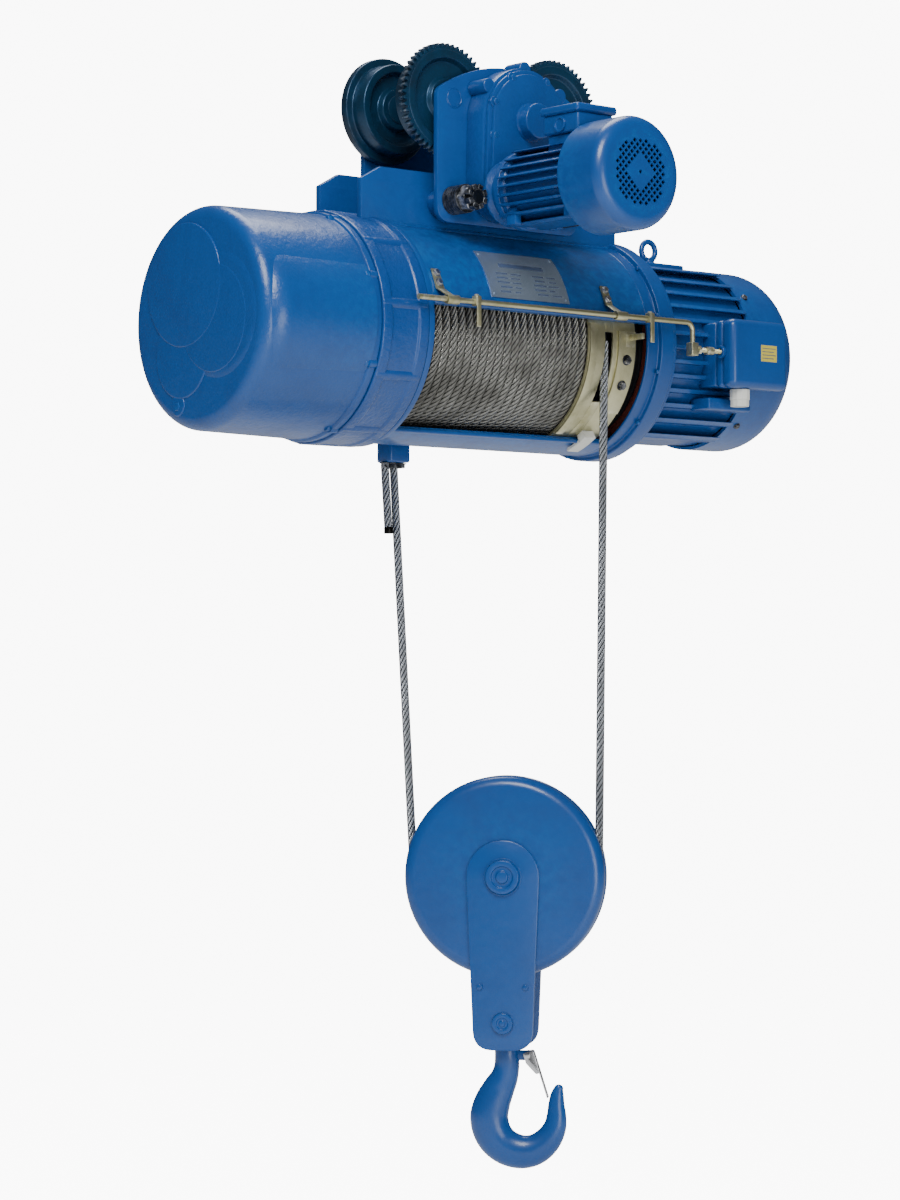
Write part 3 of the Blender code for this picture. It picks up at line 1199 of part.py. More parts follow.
def make_drive_gears():
    """Drive pinion with its output gear, and the middle gear."""
    axis = empty_at("axis_drive_pinion", (REDUCER_CENTRE[0], REDUCER_BACK, REDUCER_CENTRE[1]))
    teeth = gear_outline((0, 0), PINION_TEETH, GEAR_MODULE, pinion_toward(-1))
    inward = -REDUCER_BACK - WHEEL_OUTER_FACE + WHEEL_FLANGE_WIDTH / 2
    pinion = plate("drive_pinion", [teeth], WHEEL_FLANGE_WIDTH, "XZ", (0, inward, 0))
    pitch = OUTPUT_GEAR_TEETH * STAGE_MODULE / 2 - BACKLASH
    shaft = turned("pinion_shaft",
                   [(-0.0600, 0.0), (-0.0600, PINION_SHAFT), (0.0075, PINION_SHAFT), (0.0075, pitch),
                    (0.0195, pitch), (0.0195, 0.0)],
                   (0, 0, 0), "-Y", segments=22, collection=CUTTERS, closed=False)
    bake(shaft)
    pinion.parent = axis
    shaft.parent = axis
    combine(pinion, [shaft], "UNION")
    finish(pinion, GREASED, axis)
    first = (MOTOR_PINION_TEETH + MIDDLE_GEAR_TEETH) * STAGE_MODULE / 2
    second = (MIDDLE_PINION_TEETH + OUTPUT_GEAR_TEETH) * STAGE_MODULE / 2
    run = Vector(REDUCER_CENTRE) - Vector((DRIVE_X, DRIVE_Z))
    along = (first ** 2 - second ** 2 + run.length ** 2) / (2 * run.length)
    off = math.sqrt(first ** 2 - along ** 2)
    unit = run.normalized()
    place = Vector((DRIVE_X, DRIVE_Z)) + unit * along + Vector((unit.y, -unit.x)) * off
    axis = empty_at("axis_middle_gear", (place.x, REDUCER_BACK, place.y))
    small = MIDDLE_PINION_TEETH * STAGE_MODULE / 2 - BACKLASH
    large = MIDDLE_GEAR_TEETH * STAGE_MODULE / 2 - BACKLASH
    middle = turned("middle_gear",
                    [(0.0070, 0.0), (0.0070, small), (0.0215, small), (0.0215, large),
                     (0.0335, large), (0.0335, 0.0)],
                    (0, 0, 0), "-Y", segments=20, closed=False)
    finish(middle, BRIGHT, axis)


def make_trolley_motor():
    """Finned body, terminal box, fan cover, and the rotor with its fan."""
    bore = DRIVE_BODY_RADIUS - DRIVE_BODY_WALL
    start = DRIVE_FLANGE_FRONT - TOUCH
    body = plate("trolley_motor_body",
                 [fin_outline(DRIVE_BODY_RADIUS, DRIVE_FIN_RADIUS, DRIVE_FIN_PITCH,
                              DRIVE_FIN_THICKNESS, 0.014),
                  circle((0, 0), bore, 20)],
                 start - DRIVE_BODY_FRONT, "XZ",
                 (DRIVE_X, (start + DRIVE_BODY_FRONT) / 2, DRIVE_Z))
    pad = box("terminal_pad", (DRIVE_X - 0.028, TERMINAL_FRONT + 0.008, DRIVE_Z + bore + 0.002),
              (DRIVE_X + 0.028, TERMINAL_BACK - 0.008, DRIVE_Z + DRIVE_FIN_RADIUS + 0.004),
              collection=CUTTERS)
    combine(body, [pad], "UNION", solver="MANIFOLD")
    finish(body, PAINTED)
    low = DRIVE_Z + DRIVE_FIN_RADIUS + 0.004 + TOUCH
    split = TERMINAL_TOP - TERMINAL_LID
    half = TERMINAL_WIDTH / 2
    base = box("terminal_box", (DRIVE_X - half + 0.005, TERMINAL_FRONT + 0.004, low),
               (DRIVE_X + half - 0.005, TERMINAL_BACK - 0.004, split + 0.002))
    lid = box("terminal_lid", (DRIVE_X - half, TERMINAL_FRONT, split),
              (DRIVE_X + half, TERMINAL_BACK, TERMINAL_TOP), collection=CUTTERS)
    combine(base, [lid], "UNION")
    finish(base, PAINTED)
    back = -(DRIVE_BODY_FRONT - 0.0005)
    inner = FAN_COVER_RADIUS - FAN_COVER_WALL
    round_out = rounded_end(-FAN_COVER_BACK, -FAN_COVER_FRONT, FAN_COVER_RADIUS, FAN_COVER_ROUND, 3)
    near, face = -FAN_COVER_BACK, -FAN_COVER_FRONT - FAN_COVER_WALL
    round_in = rounded_end(near, face, inner, FAN_COVER_ROUND, 2)
    outside = [(near, FAN_COVER_RADIUS)] + round_out + [(-FAN_COVER_FRONT, 0.0)]
    inside = [(face, 0.0)] + round_in[::-1] + [(near, inner)]
    cover = turned("fan_cover", outside, (DRIVE_X, 0, DRIVE_Z), "-Y", closed=False)
    shell_of_revolution(cover, (outside, inside))
    bake(cover)
    slots = []
    for number in range(6):
        angle = math.radians(60 * number + 30)
        wide, tall = GRILLE_HALF
        slots.append(box("grille" + str(number), (-wide, FAN_COVER_FRONT - 0.01, -tall),
                         (wide, FAN_COVER_FRONT + 0.01, tall), collection=CUTTERS))
        slots[-1].location = (DRIVE_X + GRILLE_RADIUS * math.cos(angle), FAN_COVER_FRONT,
                              DRIVE_Z + GRILLE_RADIUS * math.sin(angle))
        slots[-1].rotation_euler = (0, math.pi / 2 - angle, 0)
    combine(cover, slots, "DIFFERENCE")
    smooth(cover.data)
    finish(cover, PAINTED)
    axis = empty_at("axis_trolley_rotor", (DRIVE_X, 0.0, DRIVE_Z))
    pinion = MOTOR_PINION_TEETH * STAGE_MODULE / 2 - BACKLASH
    rotor = turned("trolley_rotor",
                   [(-REDUCER_BACK + 0.0215, 0.0), (-REDUCER_BACK + 0.0215, pinion),
                    (-REDUCER_BACK + 0.0345, pinion), (-REDUCER_BACK + 0.0345, 0.0085),
                    (0.195, 0.0085), (0.195, 0.034), (0.320, 0.038), (0.320, 0.0085),
                    (back + 0.008, 0.0085), (back + 0.008, 0.016), (back + 0.016, 0.066),
                    (back + 0.030, 0.066), (back + 0.022, 0.016), (back + 0.030, 0.0085),
                    (0.392, 0.0085), (0.392, 0.0)],
                   (0, 0, 0), "-Y", segments=18, closed=False)
    finish(rotor, BRIGHT, axis)


# -------------------------------------------------------------- the hook block
def make_hook_block():
    """Sheave, covers, straps, pins, crosshead, hook and latch."""
    block = empty_at("hook_block_frame", (BLOCK_X, BLOCK_Y, SHEAVE_Z),
                     (0.0, 0.0, math.radians(BLOCK_TURN)))
    make_sheave(block)
    make_covers_and_straps(block)
    make_hook(block)


def make_sheave(block):
    """Grooved sheave on its pin, with the rope in its groove."""
    half, rim, hub = SHEAVE_HALF_RIM, SHEAVE_RIM_RADIUS, SHEAVE_HUB_RADIUS
    groove = SHEAVE_PITCH_RADIUS - ROPE_RADIUS - 0.0015
    bore = bore_radius(PIN_RADIUS, DRUM_FACETS, RUN_FIT)
    flare = 0.0130
    section = [(-half, rim - 0.022), (-half, rim), (-flare, rim), (-0.005, groove),
               (0.005, groove), (flare, rim), (half, rim), (half, rim - 0.022),
               (SHEAVE_WEB, rim - 0.028), (SHEAVE_WEB, hub),
               (SHEAVE_HUB_HALF, hub), (SHEAVE_HUB_HALF, bore), (-SHEAVE_HUB_HALF, bore),
               (-SHEAVE_HUB_HALF, hub), (-SHEAVE_WEB, hub), (-SHEAVE_WEB, rim - 0.028)]
    sheave = turned("sheave", section, (0, 0, 0), "-Y", segments=DRUM_FACETS)
    finish(sheave, GREASED, block)
    steps = 22
    radius = SHEAVE_PITCH_RADIUS + 0.0006
    path = [(radius * math.cos(math.radians(a)), 0.0, radius * math.sin(math.radians(a)))
            for a in [180 + 180 * i / steps for i in range(steps + 1)]]
    wrap = tube("rope_on_sheave", path, ROPE_RADIUS - TOUCH, sides=1)
    finish(wrap, ROPE, block)


def make_covers_and_straps(block):
    """Two dished covers, two straps, the sheave pin and two tie rods."""
    for name, toward in (("sheave_cover_front", "-Y"), ("sheave_cover_rear", "+Y")):
        face, wall = COVER_DISC_FACE, COVER_DISC_WALL
        outside = ([(COVER_DISC_GAP, COVER_DISC_RADIUS)]
                   + rounded_end(COVER_DISC_GAP, face, COVER_DISC_RADIUS, COVER_DISC_ROUND, 2))
        inside = rounded_end(COVER_DISC_GAP, face - wall, COVER_DISC_RADIUS - wall,
                             COVER_DISC_ROUND - wall, 1)
        way = bore_radius(PIN_RADIUS, DRUM_FACETS)
        section = (outside + [(face, way), (face - wall, way)]
                   + inside[::-1] + [(COVER_DISC_GAP, COVER_DISC_RADIUS - wall)])
        cover = turned(name, section, (0, 0, 0), toward, segments=DRUM_FACETS)
        finish(cover, PAINTED, block)
    foot = -PIN_TO_PIN - STRAP_FOOT
    top = arc((0, 0), STRAP_TOP_RADIUS, 0, 180, 12)
    corner = STRAP_FOOT_CORNER
    edge = (top + arc((-STRAP_FOOT_HALF + corner, foot + corner), corner, 180, 270, 5)
            + arc((STRAP_FOOT_HALF - corner, foot + corner), corner, 270, 360, 5))
    holes = [circle((0, 0), bore_radius(PIN_RADIUS)),
             circle((0, -PIN_TO_PIN), bore_radius(TRUNNION_RADIUS, SMALL_SEGMENTS, RUN_FIT))]
    holes += [circle((side * TIE_ROD_SPREAD, -TIE_ROD_DROP), bore_radius(TIE_ROD_NECK, 10), 10)
              for side in (-1, 1)]
    middle = STRAP_INNER + STRAP_THICKNESS / 2
    for name, side in (("strap_front", -1), ("strap_rear", 1)):
        cuts = holes if side < 0 else holes[:2]
        strap = plate(name, [edge] + cuts, STRAP_THICKNESS, "XZ", (0, side * middle, 0))
        finish(strap, PAINTED, block)
    outer = STRAP_INNER + STRAP_THICKNESS
    pin = turned("sheave_pin",
                 [(-outer - PIN_HEAD, 0.0), (-outer - PIN_HEAD, PIN_HEAD_RADIUS + 0.003),
                  (-outer - TOUCH, PIN_HEAD_RADIUS + 0.003), (-outer - TOUCH, PIN_RADIUS),
                  (outer + TOUCH, PIN_RADIUS),
                  (outer + TOUCH, PIN_HEAD_RADIUS), (outer + PIN_HEAD, PIN_HEAD_RADIUS),
                  (outer + PIN_HEAD, PIN_RECESS), (outer + PIN_HEAD - 0.004, PIN_RECESS),
                  (outer + PIN_HEAD - 0.004, 0.0)],
                 (0, 0, 0), "-Y", segments=20, closed=False)
    finish(pin, PAINTED, block)
    small = TIE_ROD_NECK
    rods = []
    for side in (-1, 1):
        rods.append(turned("tie_rod" + str(side),
                           [(-outer - 0.003, 0.0), (-outer - 0.003, small),
                            (-STRAP_INNER + TOUCH, small), (-STRAP_INNER + TOUCH, TIE_ROD_RADIUS),
                            (outer - 0.001, TIE_ROD_RADIUS), (outer - 0.001, small),
                            (outer + 0.003, small), (outer + 0.003, 0.0)],
                           (side * TIE_ROD_SPREAD, 0, -TIE_ROD_DROP), "+Y", segments=10,
                           collection=CUTTERS, closed=False))
        bake(rods[-1])
        rods[-1].parent = block
    rear = bpy.data.objects["strap_rear"]
    combine(rear, rods, "UNION")


def make_hook(block):
    """Crosshead on its trunnions, thrust bearing, hook, nut and latch."""
    lower = empty_at("axis_crosshead", (0, 0, -PIN_TO_PIN))
    lower.parent = block
    half = STRAP_INNER - 0.001
    outer = STRAP_INNER + STRAP_THICKNESS
    head = box("crosshead", (-CROSSHEAD_HALF_WIDTH, -half, -CROSSHEAD_HALF_HEIGHT),
               (CROSSHEAD_HALF_WIDTH, half, CROSSHEAD_HALF_HEIGHT))
    head.parent = lower
    ends = []
    for side in (-1, 1):
        ends.append(rod("trunnion" + str(side), TRUNNION_RADIUS, (0, side * (half - 0.004), 0),
                        (0, side * (outer + 0.0065), 0), collection=CUTTERS))
        ends[-1].parent = lower
        ends.append(rod("trunnion_cap" + str(side), TRUNNION_CAP_RADIUS,
                        (0, side * (outer + TOUCH), 0), (0, side * (outer + 0.006), 0),
                        collection=CUTTERS))
        ends[-1].parent = lower
    combine(head, ends, "UNION")
    bore = rod("shank_bore", bore_radius(SHANK_RADIUS, 20, RUN_FIT), (0, 0, -0.05),
               (0, 0, 0.05), segments=20, collection=CUTTERS)
    bore.parent = lower
    combine(head, [bore], "DIFFERENCE")
    finish(head, PAINTED, lower)
    top = CROSSHEAD_HALF_HEIGHT
    way = bore_radius(SHANK_RADIUS, 20)
    nut = turned("hook_nut",
                 [(top + TOUCH, way), (top + TOUCH, 0.0275), (top + 0.011, 0.0275),
                  (top + 0.012, 0.0255), (top + 0.018, 0.0255), (top + 0.018, way)],
                 (0, 0, 0), "+Z", segments=20)
    finish(nut, BRIGHT, lower)
    centre_line = ((0.0, 0.046, SHANK_RADIUS), (0.0, 0.000, SHANK_RADIUS), (0.001, -0.040, 0.0182),
                   (0.002, -0.062, 0.0185), (-0.002, -0.082, 0.0205), (-0.012, -0.101, 0.0240),
                   (-0.022, -0.121, 0.0270), (-0.026, -0.143, 0.0285), (-0.019, -0.167, 0.0280),
                   (0.001, -0.186, 0.0265), (0.028, -0.1925, 0.0245), (0.053, -0.1835, 0.0220),
                   (0.069, -0.167, 0.0190), (0.0755, -0.148, 0.0162), (0.0750, -0.128, 0.0132),
                   (0.0760, -0.110, 0.0105), (0.0785, -0.098, 0.0072))
    points = [(u, 0.0, w) for u, w, radius in centre_line]
    radii = [radius for u, w, radius in centre_line]
    hook = tube("hook", points, radii[0], sides=2, radii=radii)
    flatten(hook.data)
    lug = rod("latch_lug", 0.0075, (LATCH_PIVOT[0], -0.0065, LATCH_PIVOT[1]),
              (LATCH_PIVOT[0], 0.0065, LATCH_PIVOT[1]), segments=16, collection=CUTTERS)
    web = box("latch_web", (0.010, -0.0060, LATCH_PIVOT[1] - 0.007),
              (LATCH_PIVOT[0], 0.0060, LATCH_PIVOT[1] + 0.007), collection=CUTTERS)
    hook.parent = lower
    lug.parent = lower
    web.parent = lower
    combine(hook, [web, lug], "UNION")
    pin_way = rod("latch_bore", 0.0032, (LATCH_PIVOT[0], -0.02, LATCH_PIVOT[1]),
                  (LATCH_PIVOT[0], 0.02, LATCH_PIVOT[1]), segments=12, collection=CUTTERS)
    pin_way.parent = lower
    combine(hook, [pin_way], "DIFFERENCE")
    smooth(hook.data, 50)
    finish(hook, PAINTED, lower)
    hinge = empty_at("axis_latch", (LATCH_PIVOT[0], 0.0, LATCH_PIVOT[1]))
    hinge.parent = lower
    make_latch(hinge)


def flatten(mesh):
    """Press the bow of the hook flatter than it is wide, and keep its shank round."""
    for vertex in mesh.vertices:
        share = min(1.0, max(0.0, (-0.060 - vertex.co.z) / 0.040))
        vertex.co.y *= 1.0 + share * (HOOK_FLATTEN - 1.0)


def make_latch(hinge):
    """Bent sheet latch: two cheeks, a tongue that meets the hook's tip, a pin."""
    reach = (LATCH_TIP[0] - LATCH_PIVOT[0], LATCH_TIP[1] - LATCH_PIVOT[1])
    length = math.hypot(*reach)
    along = Vector((reach[0], reach[1])) / length
    across = Vector((-along.y, along.x))
    near = [along * -0.006 + across * 0.010, along * -0.006 - across * 0.006,
            along * 0.024 - across * 0.004, along * 0.030 + across * 0.004,
            along * 0.030 + across * 0.010]
    outline = [(p.x, p.y) for p in near]
    latch = plate("latch", [outline], 0.0015, "XZ", (0, -0.0078, 0))
    other = plate("latch_cheek", [outline], 0.0015, "XZ", (0, 0.0078, 0), CUTTERS)
    corners = [along * -0.004 + across * 0.0085, along * length + across * 0.0085,
               along * length + across * 0.0105, along * -0.004 + across * 0.0105]
    tongue = plate("latch_tongue", [[(p.x, p.y) for p in corners]], 0.0165, "XZ",
                   (0, 0, 0), CUTTERS)
    pin = rod("latch_pin", 0.0029, (0, -0.0105, 0), (0, 0.0105, 0), segments=12,
              collection=CUTTERS)
    for piece in (latch, other, tongue, pin):
        piece.parent = hinge
    combine(latch, [other, tongue, pin], "UNION")
    finish(latch, BRIGHT, hinge)


# ------------------------------------------------------------------ the falls
def make_falls():
    """Anchor under the housing, and the rope's two falls to the sheave."""
    turn = math.radians(BLOCK_TURN)
    side = Vector((math.cos(turn), math.sin(turn), 0.0))
    centre = Vector((BLOCK_X, BLOCK_Y, SHEAVE_Z))
    anchor_z = DRUM_Z - HOUSING_RADIUS - ANCHOR_BELOW
    radius = ROPE_RADIUS - TOUCH
    live_top = Vector((GUIDE_SLOT_X, -ROPE_PITCH_RADIUS - 0.0006, DRUM_Z - 0.002))
    live_low = centre + side * (SHEAVE_PITCH_RADIUS + 0.0006) + Vector((0, 0, 0.0005))
    dead_top = Vector((DEAD_END_X, DEAD_END_Y, anchor_z - 0.010))
    dead_low = centre - side * (SHEAVE_PITCH_RADIUS + 0.0006) + Vector((0, 0, 0.0005))
    for name, top, low in (("rope_fall_live", live_top, live_low),
                           ("rope_fall_dead", dead_top, dead_low)):
        fall = tube(name, [low, low.lerp(top, 0.5), top], radius)
        finish(fall, ROPE)
    rise = math.sqrt((HOUSING_RADIUS + TOUCH) ** 2 - (DEAD_END_Y + ANCHOR_HALF_Y) ** 2)
    anchor = box("rope_anchor",
                 (DEAD_END_X - ANCHOR_HALF_X, DEAD_END_Y - ANCHOR_HALF_Y, anchor_z - 0.008),
                 (DEAD_END_X + ANCHOR_HALF_X, DEAD_END_Y + ANCHOR_HALF_Y, DRUM_Z - rise + 0.014))
    bake(anchor)
    saddle = rod("anchor_saddle", HOUSING_RADIUS + TOUCH, (DEAD_END_X - 0.1, 0, DRUM_Z),
                 (DEAD_END_X + 0.1, 0, DRUM_Z), segments=DRUM_FACETS, collection=CUTTERS)
    saddle.rotation_euler = (0.0, math.pi / 2, 0.0)
    combine(anchor, [saddle], "DIFFERENCE")
    finish(anchor, PAINTED)
    start = Vector((DEAD_END_X - 0.0135, DEAD_END_Y + 0.004, anchor_z - 0.010))
    end = start + Vector(TAIL_RUN)
    tail = tube("rope_tail", [end, start], radius)
    finish(tail, ROPE)


clear_scene()
PARTS = new_collection("electric_wire_rope_hoist")
CUTTERS = new_collection("cutters")

make_side_plates()
make_wheels()
make_tie_bolts()
make_drum_housing()
make_hanging_plates()
make_nameplate()
DRUM_AXIS = make_drum()
make_rope_guide()
make_gearbox()
make_inner_gears()
make_output_gear(DRUM_AXIS)
make_hoist_motor()
make_brake(bpy.data.objects["axis_drive_shaft"])
make_switch_box()
make_limit_gear()
make_reducer()
make_drive_gears()
make_trolley_motor()
make_hook_block()
make_falls()
bpy.context.view_layer.update()
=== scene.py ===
"""Looks of an electric wire rope hoist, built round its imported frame.

Positions are metres in the row frame: the origin lies on the rail's running
surface midway between the wheels, +X runs along the drum towards the motor,
-Y faces the trolley drive and +Z is up.
"""

import json
import logging
import math
import random
from dataclasses import dataclass
from enum import Enum
from typing import Callable, Iterable, Optional, Sequence

import bmesh
import bpy
from mathutils import Matrix, Vector


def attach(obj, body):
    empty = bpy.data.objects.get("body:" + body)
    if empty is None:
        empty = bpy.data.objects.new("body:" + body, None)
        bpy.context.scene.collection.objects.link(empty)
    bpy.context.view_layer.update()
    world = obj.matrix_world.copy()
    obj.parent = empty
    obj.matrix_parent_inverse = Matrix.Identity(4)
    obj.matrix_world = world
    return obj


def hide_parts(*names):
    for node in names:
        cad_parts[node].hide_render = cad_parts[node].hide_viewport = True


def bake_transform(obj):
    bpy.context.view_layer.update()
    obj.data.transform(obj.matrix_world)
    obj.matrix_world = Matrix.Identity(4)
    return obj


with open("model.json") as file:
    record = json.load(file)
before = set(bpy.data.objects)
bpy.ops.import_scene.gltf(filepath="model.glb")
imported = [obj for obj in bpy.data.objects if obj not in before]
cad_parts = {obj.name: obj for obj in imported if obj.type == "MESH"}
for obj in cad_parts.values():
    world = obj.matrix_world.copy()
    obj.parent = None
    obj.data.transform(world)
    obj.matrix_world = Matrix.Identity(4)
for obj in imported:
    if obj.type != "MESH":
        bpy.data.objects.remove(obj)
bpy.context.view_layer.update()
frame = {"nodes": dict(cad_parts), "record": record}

LOG = logging.getLogger("hoist")
Point2 = tuple[float, float]
Point3 = tuple[float, float, float]

DRUM_Z = -0.273
HOUSING_R = 0.161
MOTOR_FIN_R = 0.146
ROPE_LAY = 0.060               # length along the rope of one turn of its strands
SHARP = math.radians(33.0)     # edges above this angle stay crisp

SEEN_WHITE = 9.0               # how bright the surroundings look
AMBIENT = 0.50                 # how much they light the hoist
GLOSS_CUT = -0.42              # taken off what shines back in glossy surfaces
# near-black painted into the gaps between rope strands: painted shade
PAINTED_CREVICE_SHADE = (0.012, 0.012, 0.011)
DUST_COLOUR = (0.33, 0.33, 0.32)
DUST_ROUGH = 0.4
WIRE_HEIGHT = 0.07             # of one wire against its strand


class Toward(Enum):
    """Which way a turned profile runs: (across, up, along)."""

    RIGHT = ((0, -1, 0), (0, 0, 1), (1, 0, 0))
    LEFT = ((0, -1, 0), (0, 0, 1), (-1, 0, 0))
    FRONT = ((1, 0, 0), (0, 0, 1), (0, -1, 0))
    BACK = ((1, 0, 0), (0, 0, 1), (0, 1, 0))
    UP = ((1, 0, 0), (0, 1, 0), (0, 0, 1))
    DOWN = ((1, 0, 0), (0, 1, 0), (0, 0, -1))


class Slot(Enum):
    """The record's material slots."""

    BLUE = "blue_paint"
    DARK = "dark_blue_casting"
    IRON = "greased_iron"
    STEEL = "bright_steel"
    ROPE = "wire_rope"
    ZINC = "yellow_zinc"
    BLACK = "black_steel"
    PALE = "pale_plastic"
    SILVER = "silver_plate"
    COPPER = "copper_winding"


# ------------------------------------------------------------------- outlines
def circle(centre: Point2, radius: float, steps: int = 40, start: float = 0.0) -> list[Point2]:
    """Return the points of a circle.

    Args:
        centre: middle of the circle.
        radius: its radius.
        steps: number of points.
        start: angle of the first point, in degrees.

    Returns:
        The points, anticlockwise.
    """
    turn = [math.radians(start + 360.0 * i / steps) for i in range(steps)]
    return [(centre[0] + radius * math.cos(a), centre[1] + radius * math.sin(a)) for a in turn]


def soften(points: Sequence[Point2], radius: float, steps: int = 4, on_axis: bool = False,
           closed: bool = True) -> list[Point2]:
    """Round the corners of an outline or of a turned profile.

    Args:
        points: the corners.
        radius: how far the rounding reaches, cut down where edges are short.
        steps: segments of each rounded corner.
        on_axis: keep points whose second value is 0, the axis of a turned profile.
        closed: whether the last point joins the first.

    Returns:
        The rounded outline.
    """
    out: list[Point2] = []
    count = len(points)
    for i, point in enumerate(points):
        here = Vector(point)
        back, ahead = Vector(points[i - 1]) - here, Vector(points[(i + 1) % count]) - here
        end = not closed and i in (0, count - 1)
        if end or (on_axis and point[1] < 1e-9) or back.length < 1e-7 or ahead.length < 1e-7:
            out.append(tuple(here))
            continue
        turn = back.angle(ahead)
        if turn > math.pi - 0.14 or turn < 0.05:
            out.append(tuple(here))
            continue
        reach = min(radius / math.tan(turn / 2), back.length * 0.46, ahead.length * 0.46)
        first, last = here + back.normalized() * reach, here + ahead.normalized() * reach
        for k in range(steps + 1):
            t = k / steps
            out.append(tuple(first * (1 - t) ** 2 + here * 2 * t * (1 - t) + last * t * t))
    return out


def quarter(near: float, far: float, radius: float, size: float, steps: int = 10) -> list[Point2]:
    """Return a turned profile's round from a wall of `radius` to a face at `far`."""
    way = 1.0 if far > near else -1.0
    return [(far - way * size * (1 - math.sin(math.pi / 2 * k / steps)),
             radius - size * (1 - math.cos(math.pi / 2 * k / steps))) for k in range(steps + 1)]


def round_drum(x: float, radius: float, angle: float) -> Point3:
    """Return a point at `radius` from the drum's axis, `angle` degrees up from the front."""
    turn = math.radians(angle)
    return (x, -radius * math.cos(turn), DRUM_Z + radius * math.sin(turn))


def swing(x: float, angle: float) -> Matrix:
    """Return the placement that swings what lies in front of the drum's axis up by `angle` degrees."""
    return Matrix.Translation((x, 0, DRUM_Z)) @ Matrix.Rotation(-math.radians(angle), 4, "X")


def gear(teeth: int, module: float, phase: float) -> list[Point2]:
    """Return a spur gear's outline with curved tooth flanks.

    Args:
        teeth: number of teeth.
        module: pitch diameter over teeth.
        phase: angle of the first tooth's middle, in radians.

    Returns:
        The outline round the origin.
    """
    pitch, step = teeth * module / 2, 2 * math.pi / teeth
    rows = ((-1.18, 0.335), (-0.55, 0.300), (0.0, 0.238), (0.55, 0.175), (0.96, 0.118))
    points: list[Point2] = []
    for k in range(teeth):
        middle = phase + k * step
        for side, order in ((-1, rows), (1, rows[::-1])):
            for rise, half in order:
                radius, turn = pitch + rise * module, middle + side * half * step
                points.append((radius * math.cos(turn), radius * math.sin(turn)))
    return points


def fins(core: float, tip: float, pitch: float, thickness: float, count: int) -> list[Point2]:
    """Return a motor body's outline: a round core with level fins on both sides."""
    right: list[Point2] = []
    steps = 3
    for k in range(-count, count + 1):
        low, high = k * pitch - thickness / 2, k * pitch + thickness / 2
        inner_low, inner_high = (math.sqrt(max(core ** 2 - v * v, 1e-6)) for v in (low, high))
        tip_low, tip_high = (math.sqrt(max(tip ** 2 - v * v, 1e-6)) for v in (low, high))
        right += [(inner_low, low), (tip_low - 0.001, low), (tip_low, low + 0.001),
                  (tip_high, high - 0.001), (tip_high - 0.001, high), (inner_high, high)]
        following = (k + 1) * pitch - thickness / 2
        if k < count:
            for s in range(1, steps):
                level = high + (following - high) * s / steps
                right.append((math.sqrt(max(core ** 2 - level ** 2, 1e-6)), level))
    return right + [(-u, v) for u, v in reversed(right)]


